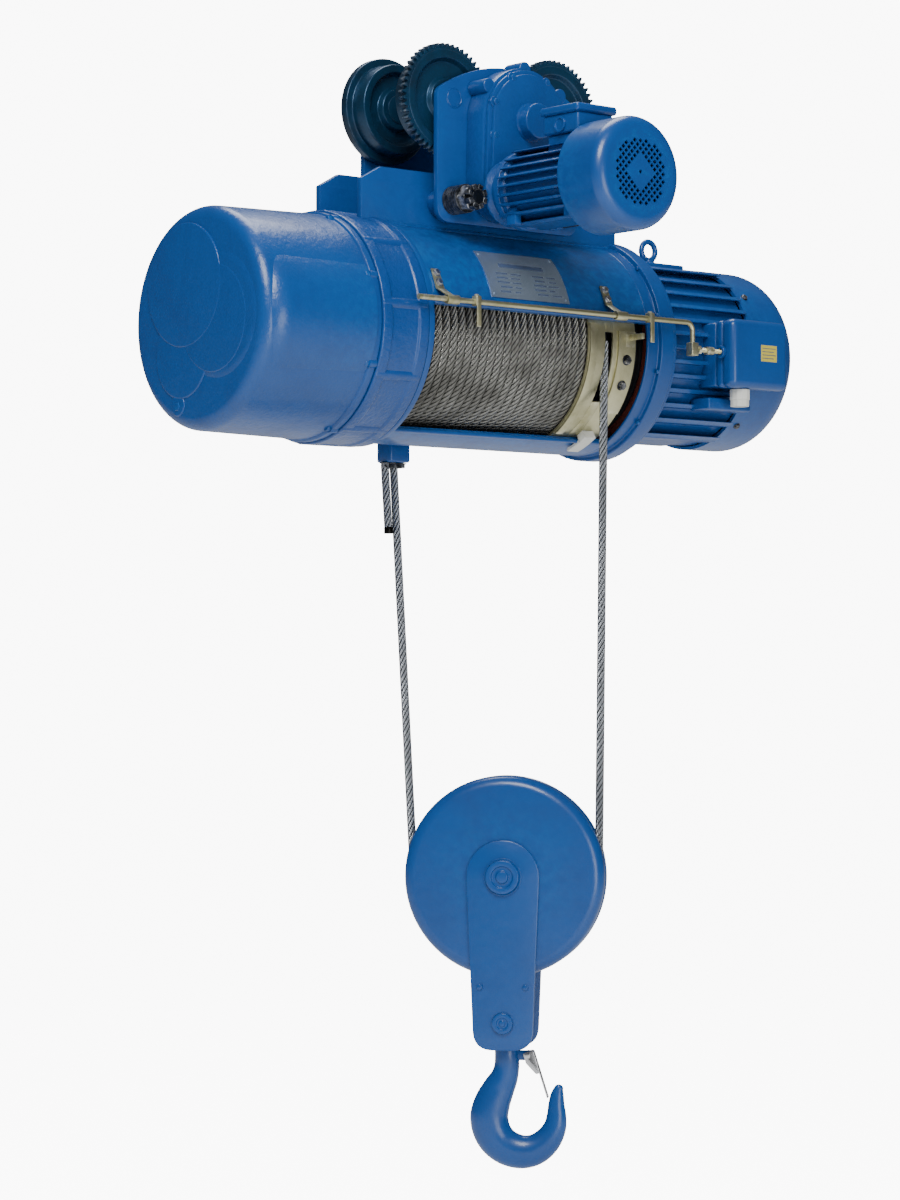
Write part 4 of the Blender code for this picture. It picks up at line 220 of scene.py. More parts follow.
# -------------------------------------------------------------------- solids
class Solid:
    """A mesh put together from simple closed shapes.

    Attributes:
        bm: the mesh so far.
    """

    def __init__(self) -> None:
        """Start with an empty mesh."""
        self.bm = bmesh.new()

    def _close(self, faces: Iterable[bmesh.types.BMFace]) -> "Solid":
        """Turn the new faces outwards and make them smooth."""
        made = [f for f in faces if f.is_valid]
        bmesh.ops.recalc_face_normals(self.bm, faces=made)
        for face in made:
            face.smooth = True
        return self

    def turned(self, profile: Sequence[Point2], at: Point3, toward: Toward,
               segments: int = 96, arc: Optional[Point2] = None) -> "Solid":
        """Add a closed profile turned about an axis.

        Args:
            profile: closed loop of (along, radius).
            at: where along = 0 lies.
            toward: the axis.
            segments: facets of a full turn.
            arc: start and end angle in degrees, for less than a full turn.

        Returns:
            This solid.
        """
        across, up, along = (Vector(v) for v in toward.value)
        start, end = arc or (0.0, 360.0)
        steps = segments if arc is None else max(3, round(segments * (end - start) / 360.0))
        rings: list[list[bmesh.types.BMVert]] = []
        for i in range(steps + (arc is not None)):
            turn = math.radians(start + (end - start) * i / steps)
            ray = across * math.cos(turn) + up * math.sin(turn)
            rings.append([self.bm.verts.new(Vector(at) + along * z + ray * r) for z, r in profile])
        faces = []
        count = len(profile)
        for i in range(steps):
            one, two = rings[i], rings[(i + 1) % len(rings)]
            for j in range(count):
                k = (j + 1) % count
                if profile[j][1] < 1e-9 and profile[k][1] < 1e-9:
                    continue
                faces.append(self.bm.faces.new((one[j], one[k], two[k], two[j])))
        if arc is not None:
            faces += [self.bm.faces.new(rings[0]), self.bm.faces.new(rings[-1][::-1])]
        poles = [v for ring in rings for v, (_, r) in zip(ring, profile) if r < 1e-9]
        bmesh.ops.remove_doubles(self.bm, verts=poles, dist=1e-7)
        return self._close(faces)

    def disc(self, low: float, high: float, radius: float, at: Point3, toward: Toward,
             segments: int, edge: float, steps: int, bore: float = 0.0,
             arc: Optional[Point2] = None) -> "Solid":
        """Add a disc or a ring with rounded edges.

        Args:
            low: where it starts along the axis.
            high: where it ends.
            radius: its outer radius.
            at: the axis's origin.
            toward: the axis.
            segments: facets of a full turn.
            edge: how far the rounding reaches.
            steps: segments of each rounded edge.
            bore: inner radius.
            arc: start and end angle in degrees, for less than a full turn.

        Returns:
            This solid.
        """
        profile = [(low, bore), (low, radius), (high, radius), (high, bore)]
        return self.turned(soften(profile, edge, steps, True), at, toward, segments, arc)

    def plate(self, outlines: Sequence[Sequence[Point2]], low: float, high: float,
              plane: str = "XZ", bevel: float = 0.0012, turn: Optional[Matrix] = None) -> "Solid":
        """Add a flat plate with bevelled edges.

        Args:
            outlines: the edge first, then the holes.
            low: one face's place across the plane.
            high: the other face's place.
            plane: "XZ", "YZ" or "XY".
            bevel: width of the rounded edge.
            turn: extra placement, applied last.

        Returns:
            This solid.
        """
        data = bpy.data.curves.new("outline", "CURVE")
        data.dimensions, data.fill_mode = "2D", "BOTH"
        data.extrude = max((high - low) / 2 - bevel, 0.0)
        data.bevel_depth, data.offset, data.bevel_resolution = bevel, -bevel, 1
        for outline in outlines:
            spline = data.splines.new("POLY")
            spline.points.add(len(outline) - 1)
            for point, (u, v) in zip(spline.points, outline):
                point.co = (u, v, 0.0, 1.0)
            spline.use_cyclic_u = True
        holder = bpy.data.objects.new("outline", data)
        mesh = bpy.data.meshes.new_from_object(holder)
        basis = {"XZ": ((1, 0, 0), (0, 0, 1), (0, 1, 0)), "YZ": ((0, 1, 0), (0, 0, 1), (1, 0, 0)),
                 "XY": ((1, 0, 0), (0, 1, 0), (0, 0, 1))}[plane]
        place = Matrix(basis).transposed().to_4x4() @ Matrix.Translation((0, 0, (low + high) / 2))
        mesh.transform((turn or Matrix.Identity(4)) @ place)
        before = set(self.bm.faces)
        self.bm.from_mesh(mesh)
        faces = [f for f in self.bm.faces if f not in before]
        verts = {v for f in faces for v in f.verts}
        bmesh.ops.remove_doubles(self.bm, verts=list(verts), dist=1e-6)
        bpy.data.objects.remove(holder)
        bpy.data.curves.remove(data)
        bpy.data.meshes.remove(mesh)
        return self._close(f for f in faces if f.is_valid)

    def block(self, low: Point3, high: Point3, bevel: float = 0.0015, steps: int = 3,
              turn: Optional[Matrix] = None) -> "Solid":
        """Add a box between two corners with rounded edges, placed by `turn`."""
        made = bmesh.ops.create_cube(self.bm, size=1.0)["verts"]
        size, middle = Vector(high) - Vector(low), (Vector(high) + Vector(low)) / 2
        for vert in made:
            vert.co = Vector(a * b for a, b in zip(vert.co, size)) + middle
        edges = list({e for v in made for e in v.link_edges})
        result = bmesh.ops.bevel(self.bm, geom=edges, offset=bevel, segments=steps, profile=0.5,
                                 affect="EDGES")
        verts = {v for f in result["faces"] for v in f.verts}
        if turn is not None:
            bmesh.ops.transform(self.bm, matrix=turn, verts=list(verts))
        return self._close({f for v in verts for f in v.link_faces})

    def tube(self, points: Sequence[Sequence[float]], radius: float, sides: int = 14,
             radii: Optional[Sequence[float]] = None, closed: bool = False,
             lay: float = 0.0, squash: float = 1.0, across: Optional[Vector] = None) -> "Solid":
        """Add a round bar along a path.

        Args:
            points: the path.
            radius: the bar's radius.
            sides: facets round the bar.
            radii: a radius for each point instead.
            closed: whether the path is a ring.
            lay: rope only; the length of one turn of its strands, written as a UV map.
            squash: how flat the bar is along `across`.
            across: the direction that is squashed and that the section starts from.

        Returns:
            This solid.
        """
        path = [Vector(p) for p in points]
        count = len(path)
        layer = self.bm.loops.layers.uv.verify() if lay else None
        side = across
        rings, run, travelled = [], [], 0.0
        for i, here in enumerate(path):
            ahead = path[(i + 1) % count] if closed or i < count - 1 else here
            back = path[i - 1] if closed or i else here
            along = (ahead - back).normalized()
            if side is None:
                side = Vector((0, 0, 1)) if abs(along.z) < 0.9 else Vector((1, 0, 0))
            side = (side - along * side.dot(along)).normalized()
            other = along.cross(side)
            size = radii[i] if radii else radius
            travelled += (here - path[i - 1]).length if i else 0.0
            run.append(travelled)
            rings.append([self.bm.verts.new(here + side * math.cos(2 * math.pi * j / sides)
                                            * size * squash
                                            + other * math.sin(2 * math.pi * j / sides) * size)
                          for j in range(sides)])
        faces = []
        for i in range(count if closed else count - 1):
            one, two = rings[i], rings[(i + 1) % count]
            for j in range(sides):
                k = (j + 1) % sides
                face = self.bm.faces.new((one[j], one[k], two[k], two[j]))
                faces.append(face)
                if layer:
                    spots = ((j, i), (j + 1, i), (j + 1, i + 1), (j, i + 1))
                    for loop, (turn, row) in zip(face.loops, spots):
                        loop[layer].uv = (turn / sides, run[row] / lay)
        if not closed:
            faces += [self.bm.faces.new(rings[0][::-1]), self.bm.faces.new(rings[-1])]
        return self._close(faces)

    def bolt(self, at: Point3, toward: Toward, size: float, height: float,
             washer: bool = True) -> "Solid":
        """Add a hexagon head on its washer.

        Args:
            at: middle of the seat.
            toward: the way the head stands out.
            size: across the head's corners.
            height: of the head.
            washer: whether there is a washer under it.

        Returns:
            This solid.
        """
        lift = 0.0
        if washer:
            lift = height * 0.22
            self.disc(0, lift, size * 0.64, at, toward, 24, 0.0004, 2)
        top = lift + height
        self.turned([(lift, 0), (lift, size / 2), (top - height * 0.12, size / 2),
                     (top, size * 0.43), (top, 0)], at, toward, 6)
        return self

    def screw(self, at: Point3, toward: Toward, radius: float) -> "Solid":
        """Add a low round head."""
        return self.turned([(0, 0), (0, radius), (radius * 0.35, radius * 0.88),
                            (radius * 0.55, radius * 0.5), (radius * 0.6, 0)], at, toward, 20)

    def moved(self, place: Matrix) -> "Solid":
        """Place all of the mesh."""
        bmesh.ops.transform(self.bm, matrix=place, verts=list(self.bm.verts))
        return self

    def add(self, other: "Solid") -> None:
        """Take in another solid's mesh, which ends the other solid."""
        copy = bpy.data.meshes.new("copy")
        other.bm.to_mesh(copy)
        other.bm.free()
        self.bm.from_mesh(copy)
        bpy.data.meshes.remove(copy)


@dataclass
class Assembly:
    """What every sub-assembly shares.

    Attributes:
        body: CAD body that its pieces ride on unless they say otherwise.
    """

    body: str = "hoist_frame"

    def show(self, name: str, solid: Solid, finish: "Finish", *nodes: str,
             body: Optional[str] = None, sharp: float = SHARP,
             rides: bool = True) -> bpy.types.Object:
        """Make an object of a solid, dress it and hang it on its body.

        Args:
            name: the piece's name.
            solid: its mesh.
            finish: what it is made of.
            nodes: CAD nodes it stands for.
            body: CAD body it rides on.
            sharp: edges above this angle stay crisp.
            rides: whether it follows one body only.

        Returns:
            The object.
        """
        name = name.replace(" ", "_")
        mesh = bpy.data.meshes.new(name)
        solid.bm.to_mesh(mesh)
        solid.bm.free()
        mesh.set_sharp_from_angle(angle=sharp)
        mesh.materials.append(finish.material())
        made = bpy.data.objects.new(name, mesh)
        bpy.context.scene.collection.objects.link(made)
        if rides:
            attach(made, body or self.body)
        if nodes:
            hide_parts(*nodes)
        LOG.info("%s: %d faces", name, len(mesh.polygons))
        return made


# ------------------------------------------------------------------ node groups
def group(name: str, inputs: dict[str, float], outputs: Sequence[str],
          build: Callable[[bpy.types.NodeTree, bpy.types.Node, bpy.types.Node], None]
          ) -> bpy.types.NodeTree:
    """Make a shader node group once.

    Args:
        name: the group's name.
        inputs: float inputs and their defaults.
        outputs: float outputs.
        build: fills the group from its input and output nodes.

    Returns:
        The group.
    """
    if name in bpy.data.node_groups:
        return bpy.data.node_groups[name]
    tree = bpy.data.node_groups.new(name, "ShaderNodeTree")
    for label, value in inputs.items():
        made = tree.interface.new_socket(name=label, in_out="INPUT", socket_type="NodeSocketFloat")
        made.default_value = value
    for label in outputs:
        tree.interface.new_socket(name=label, in_out="OUTPUT", socket_type="NodeSocketFloat")
    build(tree, tree.nodes.new("NodeGroupInput"), tree.nodes.new("NodeGroupOutput"))
    return tree


def math_node(tree: bpy.types.NodeTree, operation: str, *values: object) -> bpy.types.NodeSocket:
    """Add a Math node whose inputs are sockets or numbers, and return its output."""
    node = tree.nodes.new("ShaderNodeMath")
    node.operation = operation
    for socket, value in zip(node.inputs, values):
        if isinstance(value, bpy.types.NodeSocket):
            tree.links.new(value, socket)
        else:
            socket.default_value = value
    return node.outputs[0]


def noise_node(tree: bpy.types.NodeTree, scale: object, detail: float,
               rough: float) -> bpy.types.NodeSocket:
    """Add a noise over object coordinates, and return its value."""
    where = tree.nodes.new("ShaderNodeTexCoord")
    node = tree.nodes.new("ShaderNodeTexNoise")
    node.inputs["Detail"].default_value = detail
    node.inputs["Roughness"].default_value = rough
    tree.links.new(where.outputs["Object"], node.inputs["Vector"])
    if isinstance(scale, bpy.types.NodeSocket):
        tree.links.new(scale, node.inputs["Scale"])
    else:
        node.inputs["Scale"].default_value = scale
    return node.outputs["Fac"]


def ramp(tree: bpy.types.NodeTree, value: bpy.types.NodeSocket, low: float,
         high: float) -> bpy.types.NodeSocket:
    """Map a value from low..high to 0..1, held at both ends."""
    node = tree.nodes.new("ShaderNodeMapRange")
    node.inputs["From Min"].default_value = low
    node.inputs["From Max"].default_value = high
    tree.links.new(value, node.inputs["Value"])
    return node.outputs[0]


def fill_skin(tree: bpy.types.NodeTree, given: bpy.types.Node, out: bpy.types.Node) -> None:
    """Cast or brushed skin: a coarse sag, a fine grain and blotches."""
    coarse = noise_node(tree, given.outputs["Coarse"], 2.0, 0.5)
    fine = noise_node(tree, given.outputs["Fine"], 3.0, 0.6)
    share = math_node(tree, "MULTIPLY", fine, given.outputs["Grain"])
    tree.links.new(math_node(tree, "ADD", coarse, share), out.inputs["Height"])
    blotch = ramp(tree, noise_node(tree, given.outputs["Blotch Scale"], 5.0, 0.65), 0.45, 0.72)
    tree.links.new(blotch, out.inputs["Blotch"])


def fill_dust(tree: bpy.types.NodeTree, given: bpy.types.Node, out: bpy.types.Node) -> None:
    """Dust that lies on what faces up, broken by noise."""
    geometry = tree.nodes.new("ShaderNodeNewGeometry")
    split = tree.nodes.new("ShaderNodeSeparateXYZ")
    tree.links.new(geometry.outputs["Normal"], split.inputs[0])
    up = ramp(tree, split.outputs["Z"], 0.35, 1.0)
    broken = ramp(tree, noise_node(tree, given.outputs["Scale"], 4.0, 0.6), 0.35, 0.75)
    mask = math_node(tree, "MULTIPLY", up, broken)
    tree.links.new(math_node(tree, "MULTIPLY", mask, given.outputs["Amount"]), out.inputs["Mask"])


def fill_edge_wear_and_highlight(tree: bpy.types.NodeTree, given: bpy.types.Node, out: bpy.types.Node) -> None:
    """Rubbed outer edges, broken by noise; the lighter edge colour is partly wear and partly a painted
    highlight along edges.
    """
    geometry = tree.nodes.new("ShaderNodeNewGeometry")
    edge = ramp(tree, geometry.outputs["Pointiness"], 0.53, 0.62)
    broken = ramp(tree, noise_node(tree, given.outputs["Scale"], 6.0, 0.7), 0.42, 0.62)
    mask = math_node(tree, "MULTIPLY", edge, broken)
    tree.links.new(math_node(tree, "MULTIPLY", mask, given.outputs["Amount"]), out.inputs["Mask"])


def fill_strands(tree: bpy.types.NodeTree, given: bpy.types.Node, out: bpy.types.Node) -> None:
    """Twisted strands and their wires over a rope's UV map: u goes round, v is turns of lay; the second
    output marks the gaps between strands, which are painted near-black as painted shade.
    """
    where = tree.nodes.new("ShaderNodeUVMap")
    split = tree.nodes.new("ShaderNodeSeparateXYZ")
    tree.links.new(where.outputs[0], split.inputs[0])
    turn = math_node(tree, "SUBTRACT", split.outputs["X"], split.outputs["Y"])
    strand = math_node(tree, "FRACT", math_node(tree, "MULTIPLY", turn, given.outputs["Strands"]))
    offset = math_node(tree, "SUBTRACT", math_node(tree, "MULTIPLY", strand, 2.0), 1.0)
    square = math_node(tree, "MULTIPLY", offset, offset)
    dome = math_node(tree, "SQRT", math_node(tree, "MAXIMUM",
                                            math_node(tree, "SUBTRACT", 1.0, square), 0.0))
    wires = math_node(tree, "ADD", math_node(tree, "MULTIPLY", split.outputs["X"],
                                            given.outputs["Wires"]),
                      math_node(tree, "MULTIPLY", split.outputs["Y"], given.outputs["Wires"]))
    wave = math_node(tree, "SINE", math_node(tree, "MULTIPLY", wires, 2 * math.pi))
    ripple = math_node(tree, "MULTIPLY", wave, WIRE_HEIGHT)
    tree.links.new(math_node(tree, "ADD", dome, ripple), out.inputs["Height"])
    # mask of the gaps between strands, where the painted shade goes
    tree.links.new(ramp(tree, dome, 0.92, 0.36), out.inputs["Painted crevice shade"])


@dataclass(frozen=True)
class Finish:
    """A procedural surface.

    Attributes:
        name: material name.
        slot: the record's slot it belongs to.
        base: linear colour.
        under: colour that shows in blotches.
        edge: colour of rubbed edges, lighter than the base: partly wear, partly a painted edge
            highlight.
        rough: roughness, and how much the blotches add to it.
        metallic: metallic value.
        coat: weight of the clear coat.
        coarse: scale of the coarse skin, and of the fine grain.
        bump: height of the skin in metres.
        grain: share of the fine grain.
        blotch: how strongly blotches show.
        dust: how much dust lies on top.
        wear: how strongly edges are rubbed and lit by the painted edge highlight.
        strands: whether it is a rope's surface.
    """

    name: str
    slot: Slot
    base: Point3
    under: Point3
    edge: Point3 = (0.3, 0.32, 0.35)
    rough: Point2 = (0.3, 0.12)
    metallic: float = 0.0
    coat: float = 0.0
    coarse: Point2 = (60.0, 420.0)
    bump: float = 0.0004
    grain: float = 0.3
    blotch: float = 0.4
    dust: float = 0.0
    wear: float = 0.0
    strands: bool = False

    def _place(self, tree: bpy.types.NodeTree, made: bpy.types.NodeTree,
               **values: float) -> bpy.types.Node:
        """Place a group in a material with its own values."""
        node = tree.nodes.new("ShaderNodeGroup")
        node.node_tree = made
        for label, value in values.items():
            node.inputs[label.replace("_", " ")].default_value = value
        return node

    def _mix(self, tree: bpy.types.NodeTree, share: bpy.types.NodeSocket,
             first: object, second: Point3) -> bpy.types.NodeSocket:
        """Blend two colours by a mask, and return the colour."""
        node = tree.nodes.new("ShaderNodeMix")
        node.data_type = "RGBA"
        tree.links.new(share, node.inputs["Factor"])
        if isinstance(first, bpy.types.NodeSocket):
            tree.links.new(first, node.inputs["A"])
        else:
            node.inputs["A"].default_value = (*first, 1.0)
        node.inputs["B"].default_value = (*second, 1.0)
        return node.outputs["Result"]

    def material(self) -> bpy.types.Material:
        """Return the material, made the first time it is asked for."""
        if self.name in bpy.data.materials:
            return bpy.data.materials[self.name]
        made = bpy.data.materials.new(self.name)
        made.use_nodes = True
        tree = made.node_tree
        shader = next(n for n in tree.nodes if n.type == "BSDF_PRINCIPLED")
        shader.inputs["Metallic"].default_value = self.metallic
        shader.inputs["Coat Weight"].default_value = self.coat
        shader.inputs["Coat Roughness"].default_value = 0.08
        skin = self._place(tree, group("Skin", {"Coarse": 60.0, "Fine": 400.0, "Grain": 0.3,
                                                "Blotch Scale": 9.0}, ("Height", "Blotch"),
                                       fill_skin),
                           Coarse=self.coarse[0], Fine=self.coarse[1], Grain=self.grain)
        height = skin.outputs["Height"]
        blotch = math_node(tree, "MULTIPLY", skin.outputs["Blotch"], self.blotch)
        colour = self._mix(tree, blotch, self.base, self.under)
        rough = math_node(tree, "ADD", math_node(tree, "MULTIPLY", blotch, self.rough[1]),
                          self.rough[0])
        if self.strands:
            rope = self._place(tree, group("Strands", {"Strands": 6.0, "Wires": 42.0},
                                           ("Height", "Painted crevice shade"), fill_strands))
            height = rope.outputs["Height"]
            # painted shade: the gaps between strands are painted near-black
            colour = self._mix(tree, rope.outputs["Painted crevice shade"], colour, PAINTED_CREVICE_SHADE)
        # edges are painted lighter: partly rubbed wear, partly painted highlight
        if self.wear:
            worn_and_lit_edge = self._place(tree, group("Edge wear and highlight", {"Scale": 90.0, "Amount": 1.0}, ("Mask",),
                                           fill_edge_wear_and_highlight), Amount=self.wear)
            colour = self._mix(tree, worn_and_lit_edge.outputs["Mask"], colour, self.edge)
        if self.dust:
            dusty = self._place(tree, group("Dust", {"Scale": 14.0, "Amount": 1.0}, ("Mask",),
                                            fill_dust), Amount=self.dust)
            colour = self._mix(tree, dusty.outputs["Mask"], colour, DUST_COLOUR)
            rough = math_node(tree, "ADD", rough, math_node(tree, "MULTIPLY",
                                                            dusty.outputs["Mask"], DUST_ROUGH))
        bump = tree.nodes.new("ShaderNodeBump")
        bump.inputs["Distance"].default_value = self.bump
        bump.inputs["Strength"].default_value = 1.0
        tree.links.new(height, bump.inputs["Height"])
        tree.links.new(colour, shader.inputs["Base Color"])
        tree.links.new(rough, shader.inputs["Roughness"])
        tree.links.new(bump.outputs["Normal"], shader.inputs["Normal"])
        return made


BLUE_BASE = (0.0, 0.056, 0.235)
BLUE_UNDER = (0.0, 0.036, 0.165)
# the blue finishes' edge colour is a lighter blue: a painted highlight along the rubbed edges
PAINT = Finish("Blue enamel", Slot.BLUE, BLUE_BASE, BLUE_UNDER, (0.0, 0.11, 0.36), (0.30, 0.10),
               0.0, 0.15, (55.0, 260.0), 0.0004, 0.25, 0.5, 0.04, 0.5)
CAST = Finish("Blue enamel on casting", Slot.BLUE, BLUE_BASE, BLUE_UNDER, (0.0, 0.11, 0.36),
              (0.32, 0.14), 0.0, 0.15, (38.0, 210.0), 0.0012, 0.45, 0.6, 0.05, 0.5)
CAST_DARK = Finish("Blue enamel on rough iron", Slot.DARK, (0.0, 0.050, 0.22), BLUE_UNDER,
                   (0.0, 0.11, 0.36), (0.30, 0.16), 0.0, 0.2, (34.0, 180.0), 0.0024, 0.5, 0.6,
                   0.05, 0.5)
IRON = Finish("Greased iron", Slot.IRON, (0.008, 0.048, 0.105), (0.004, 0.010, 0.018),
              (0.20, 0.24, 0.28), (0.32, 0.2), 0.55, 0.15, (70.0, 500.0), 0.0005, 0.5, 0.95,
              0.0, 1.0)
DRUM = Finish("Oiled drum", Slot.IRON, (0.012, 0.014, 0.018), (0.004, 0.004, 0.004),
              (0.10, 0.10, 0.10), (0.40, 0.2), 0.5, 0.1, (60.0, 400.0), 0.0004, 0.4, 0.8)
STEEL = Finish("Bright steel", Slot.STEEL, (0.62, 0.63, 0.65), (0.34, 0.35, 0.36),
               (0.7, 0.7, 0.7), (0.26, 0.2), 1.0, 0.0, (80.0, 700.0), 0.0001, 0.5, 0.5, 0.05, 0.5)
ZINC = Finish("Yellow zinc", Slot.ZINC, (0.54, 0.52, 0.33), (0.28, 0.26, 0.11),
              (0.85, 0.83, 0.68), (0.30, 0.25), 0.9, 0.0, (90.0, 600.0), 0.0003, 0.5, 0.9,
              0.0, 0.9)
# the silver rims on black oxide parts are partly wear, partly painted highlight
BLACK = Finish("Black oxide", Slot.BLACK, (0.010, 0.013, 0.018), (0.005, 0.005, 0.007),
               (0.45, 0.46, 0.48), (0.28, 0.2), 0.6, 0.2, (80.0, 500.0), 0.0003, 0.5, 0.6, 0.0,
               1.0)
ROPE = Finish("Wire rope", Slot.ROPE, (0.44, 0.47, 0.51), (0.15, 0.16, 0.17), (0.6, 0.6, 0.6),
              (0.24, 0.25), 0.95, 0.0, (90.0, 600.0), 0.0017, 0.5, 0.6, 0.0, 0.0, True)
WOUND = Finish("Oiled wire rope", Slot.ROPE, (0.36, 0.36, 0.335), (0.055, 0.052, 0.042),
               (0.6, 0.6, 0.6), (0.25, 0.25), 0.95, 0.0, (30.0, 600.0), 0.0017, 0.5, 0.8,
               0.0, 0.0, True)
PALE = Finish("Pale plastic", Slot.PALE, (0.62, 0.63, 0.58), (0.45, 0.46, 0.42), (0.8, 0.8, 0.8),
              (0.45, 0.1), 0.0, 0.0, (60.0, 500.0), 0.0002, 0.3, 0.5, 0.15, 0.3)
SILVER = Finish("Anodised plate", Slot.SILVER, (0.46, 0.58, 0.74), (0.34, 0.44, 0.60),
                (0.7, 0.7, 0.7), (0.30, 0.12), 0.85, 0.0, (70.0, 900.0), 0.0001, 0.5, 0.4, 0.1)
INK = Finish("Plate ink", Slot.SILVER, (0.05, 0.08, 0.16), (0.03, 0.05, 0.10), rough=(0.5, 0.1))
LABEL = Finish("Label yellow", Slot.PALE, (0.50, 0.42, 0.06), (0.36, 0.30, 0.05),
               rough=(0.35, 0.15), blotch=0.5)
COPPER = Finish("Varnished winding", Slot.COPPER, (0.42, 0.17, 0.07), (0.2, 0.08, 0.04),
                rough=(0.4, 0.1), metallic=0.7)
RUST = Finish("Red primer", Slot.IRON, (0.17, 0.035, 0.025), (0.06, 0.015, 0.012),
              rough=(0.5, 0.15), blotch=0.8)
BY_SLOT = {finish.slot.value: finish for finish in (PAINT, CAST_DARK, IRON, STEEL, ROPE, ZINC, BLACK,
                                                    PALE, SILVER, COPPER)}


# -------------------------------------------------------------------- trolley
@dataclass
class Trolley(Assembly):
    """Side plates, wheels, axles, tie bolts and the plates the hoist hangs on.

    Attributes:
        half_base: half the distance between the axles.
        tread: wheel radius on the rail.
        span: centre to a side plate's outer face.
        thick: side plate thickness.
        bolt_x: X of the tie bolts.
        bolt_z: Z of the tie bolts.
    """

    half_base: float = 0.105
    tread: float = 0.067
    span: float = 0.090
    thick: float = 0.010
    bolt_x: float = 0.107
    bolt_z: float = -0.083

    def build(self) -> None:
        """Build every piece of the trolley."""
        for end, side in (("front", -1), ("rear", 1)):
            self._side_plate(end, side)
            self._hanging_plate(end, side)
            for hand, way in (("left", -1), ("right", 1)):
                self._wheel(end, side, hand, way)
        for hand, way in (("left", -1), ("right", 1)):
            self._tie_bolt(hand, way)

    def _side_plate(self, end: str, side: int) -> None:
        """One arched side plate with its axle ends."""
        arch = [(0.136 - 0.272 * k / 16, 0.122 - 0.044 * (abs(k - 8) / 8) ** 2)
                for k in range(17)]
        edge = soften([(-0.136, -0.115), (0.136, -0.115)] + arch, 0.024, 8)
        low, high = sorted((side * self.span, side * (self.span - self.thick)))
        made = Solid().plate([edge], low, high, bevel=0.0018)
        toward = Toward.FRONT if side < 0 else Toward.BACK
        for way in (-1, 1):
            at = (way * self.half_base, side * (self.span - 0.001), self.tread)
            made.turned(soften([(0, 0), (0, 0.0150), (0.0016, 0.0150), (0.0019, 0.0136),
                                (0.0012, 0.0130), (0.0020, 0.0122), (0.0020, 0.0)], 0.0004, 2, True),
                        at, toward, 56)
        nodes = ("side_plate_" + end, f"{end}_axle_left", f"{end}_axle_right")
        self.show("Side plate " + end, made, PAINT, *nodes)

    def _hanging_plate(self, end: str, side: int) -> None:
        """One plate welded along the housing, with its weld seam."""
        edge = soften([(-0.248, -0.136), (0.248, -0.136), (0.248, -0.059), (0.212, -0.039),
                       (-0.212, -0.039), (-0.248, -0.059)], 0.003, 3)
        low, high = sorted((side * 0.053, side * 0.043))
        made = Solid().plate([edge], low, high, bevel=0.0012)
        rng = random.Random(7 + side)
        foot = DRUM_Z + math.sqrt(HOUSING_R ** 2 - 0.0545 ** 2)
        seam = [(x / 1000.0, side * (0.0545 + rng.uniform(-0.0005, 0.0005)),
                 foot + rng.uniform(-0.0004, 0.0006)) for x in range(-204, 232, 4)]
        made.tube(seam, 0.0032, 8, radii=[0.0030 + rng.uniform(0, 0.0008) for _ in seam])
        self.show("Hanging plate " + end, made, PAINT, "hanging_plate_" + end)

    def _wheel(self, end: str, side: int, hand: str, way: int) -> None:
        """One flanged wheel; the front ones carry the gear rim."""
        at = (way * self.half_base, side * 0.076, self.tread)
        inward = Toward.BACK if side < 0 else Toward.FRONT
        rim = 0.0735 if side < 0 else 0.079
        profile = soften([(0.0, 0.0136), (0.0, 0.030), (0.007, 0.034), (0.007, 0.056),
                          (0.0, 0.061), (0.0, rim), (0.014, rim), (0.014, 0.0675),
                          (0.040, 0.0665), (0.040, 0.055), (0.031, 0.050), (0.031, 0.034),
                          (0.040, 0.030), (0.040, 0.0136)], 0.0022, 4)
        made = Solid().turned(profile, at, inward, 96)
        made.disc(0.006, 0.041, 0.0130, at, inward, 40, 0.0012, 3)
        made.disc(0.0395, 0.0415, 0.021, at, inward, 48, 0.0006, 2)
        if side < 0:
            toward = [math.atan2(self.tread - 0.0359, x * self.half_base) for x in (-1, way)]
            step = 2 * math.pi / 20
            off = (toward[0] - toward[1] + step / 2) % step - step / 2
            phase = toward[1] + math.pi - off * 20 / 53 + math.pi / 53
            outline = [(at[0] + u, at[2] + v) for u, v in gear(53, 0.003, phase)]
            hole = circle((at[0], at[2]), 0.0725, 72)
            made.plate([outline, hole], at[1] + 0.0002, at[1] + 0.0135, bevel=0.0005)
        name = f"{end}_wheel_{hand}"
        self.show(f"Wheel {end} {hand}", made, IRON, name, body=name)

    def _tie_bolt(self, hand: str, way: int) -> None:
        """One tie bolt with sleeves, washer stacks and castle nuts."""
        x = way * self.bolt_x
        made = Solid().disc(-0.1465, 0.1465, 0.0105, (x, 0, self.bolt_z), Toward.BACK, 40, 0.0015,
                            3)
        for side, toward in ((-1, Toward.FRONT), (1, Toward.BACK)):
            at = (x, side * (self.span + 0.0004), self.bolt_z)
            for k in range(6):
                low = k * 0.0052
                made.disc(low, low + 0.0049, 0.0212, at, toward, 40, 0.0009, 2, bore=0.0125)
            base = 0.0314
            made.turned([(base, 0.011), (base, 0.0196), (base + 0.014, 0.0196),
                         (base + 0.0155, 0.0180), (base + 0.0155, 0.011)], at, toward, 6)
            for k in range(8):
                turn = Matrix.Rotation(math.radians(45 * k + 20), 4, "Y")
                y = at[1] + side * base
                low, high = sorted((y + side * 0.013, y + side * 0.0255))
                made.block((0.0105, low, -0.0044), (0.0182, high, 0.0044), 0.0012, 3,
                           Matrix.Translation((x, 0, self.bolt_z)) @ turn)
        self.show("Tie bolt " + hand, made, BLACK, "tie_bolt_" + hand)
        sleeve = Solid()
        for side, toward in ((-1, Toward.FRONT), (1, Toward.BACK)):
            sleeve.disc(0.0534, 0.0796, 0.019, (x, 0, self.bolt_z), toward, 40, 0.001, 3,
                        bore=0.0128)
        sleeve.disc(-0.0426, 0.0426, 0.019, (x, 0, self.bolt_z), Toward.BACK, 40, 0.001, 3,
                    bore=0.0128)
        self.show("Spacer tubes " + hand, sleeve, PAINT)


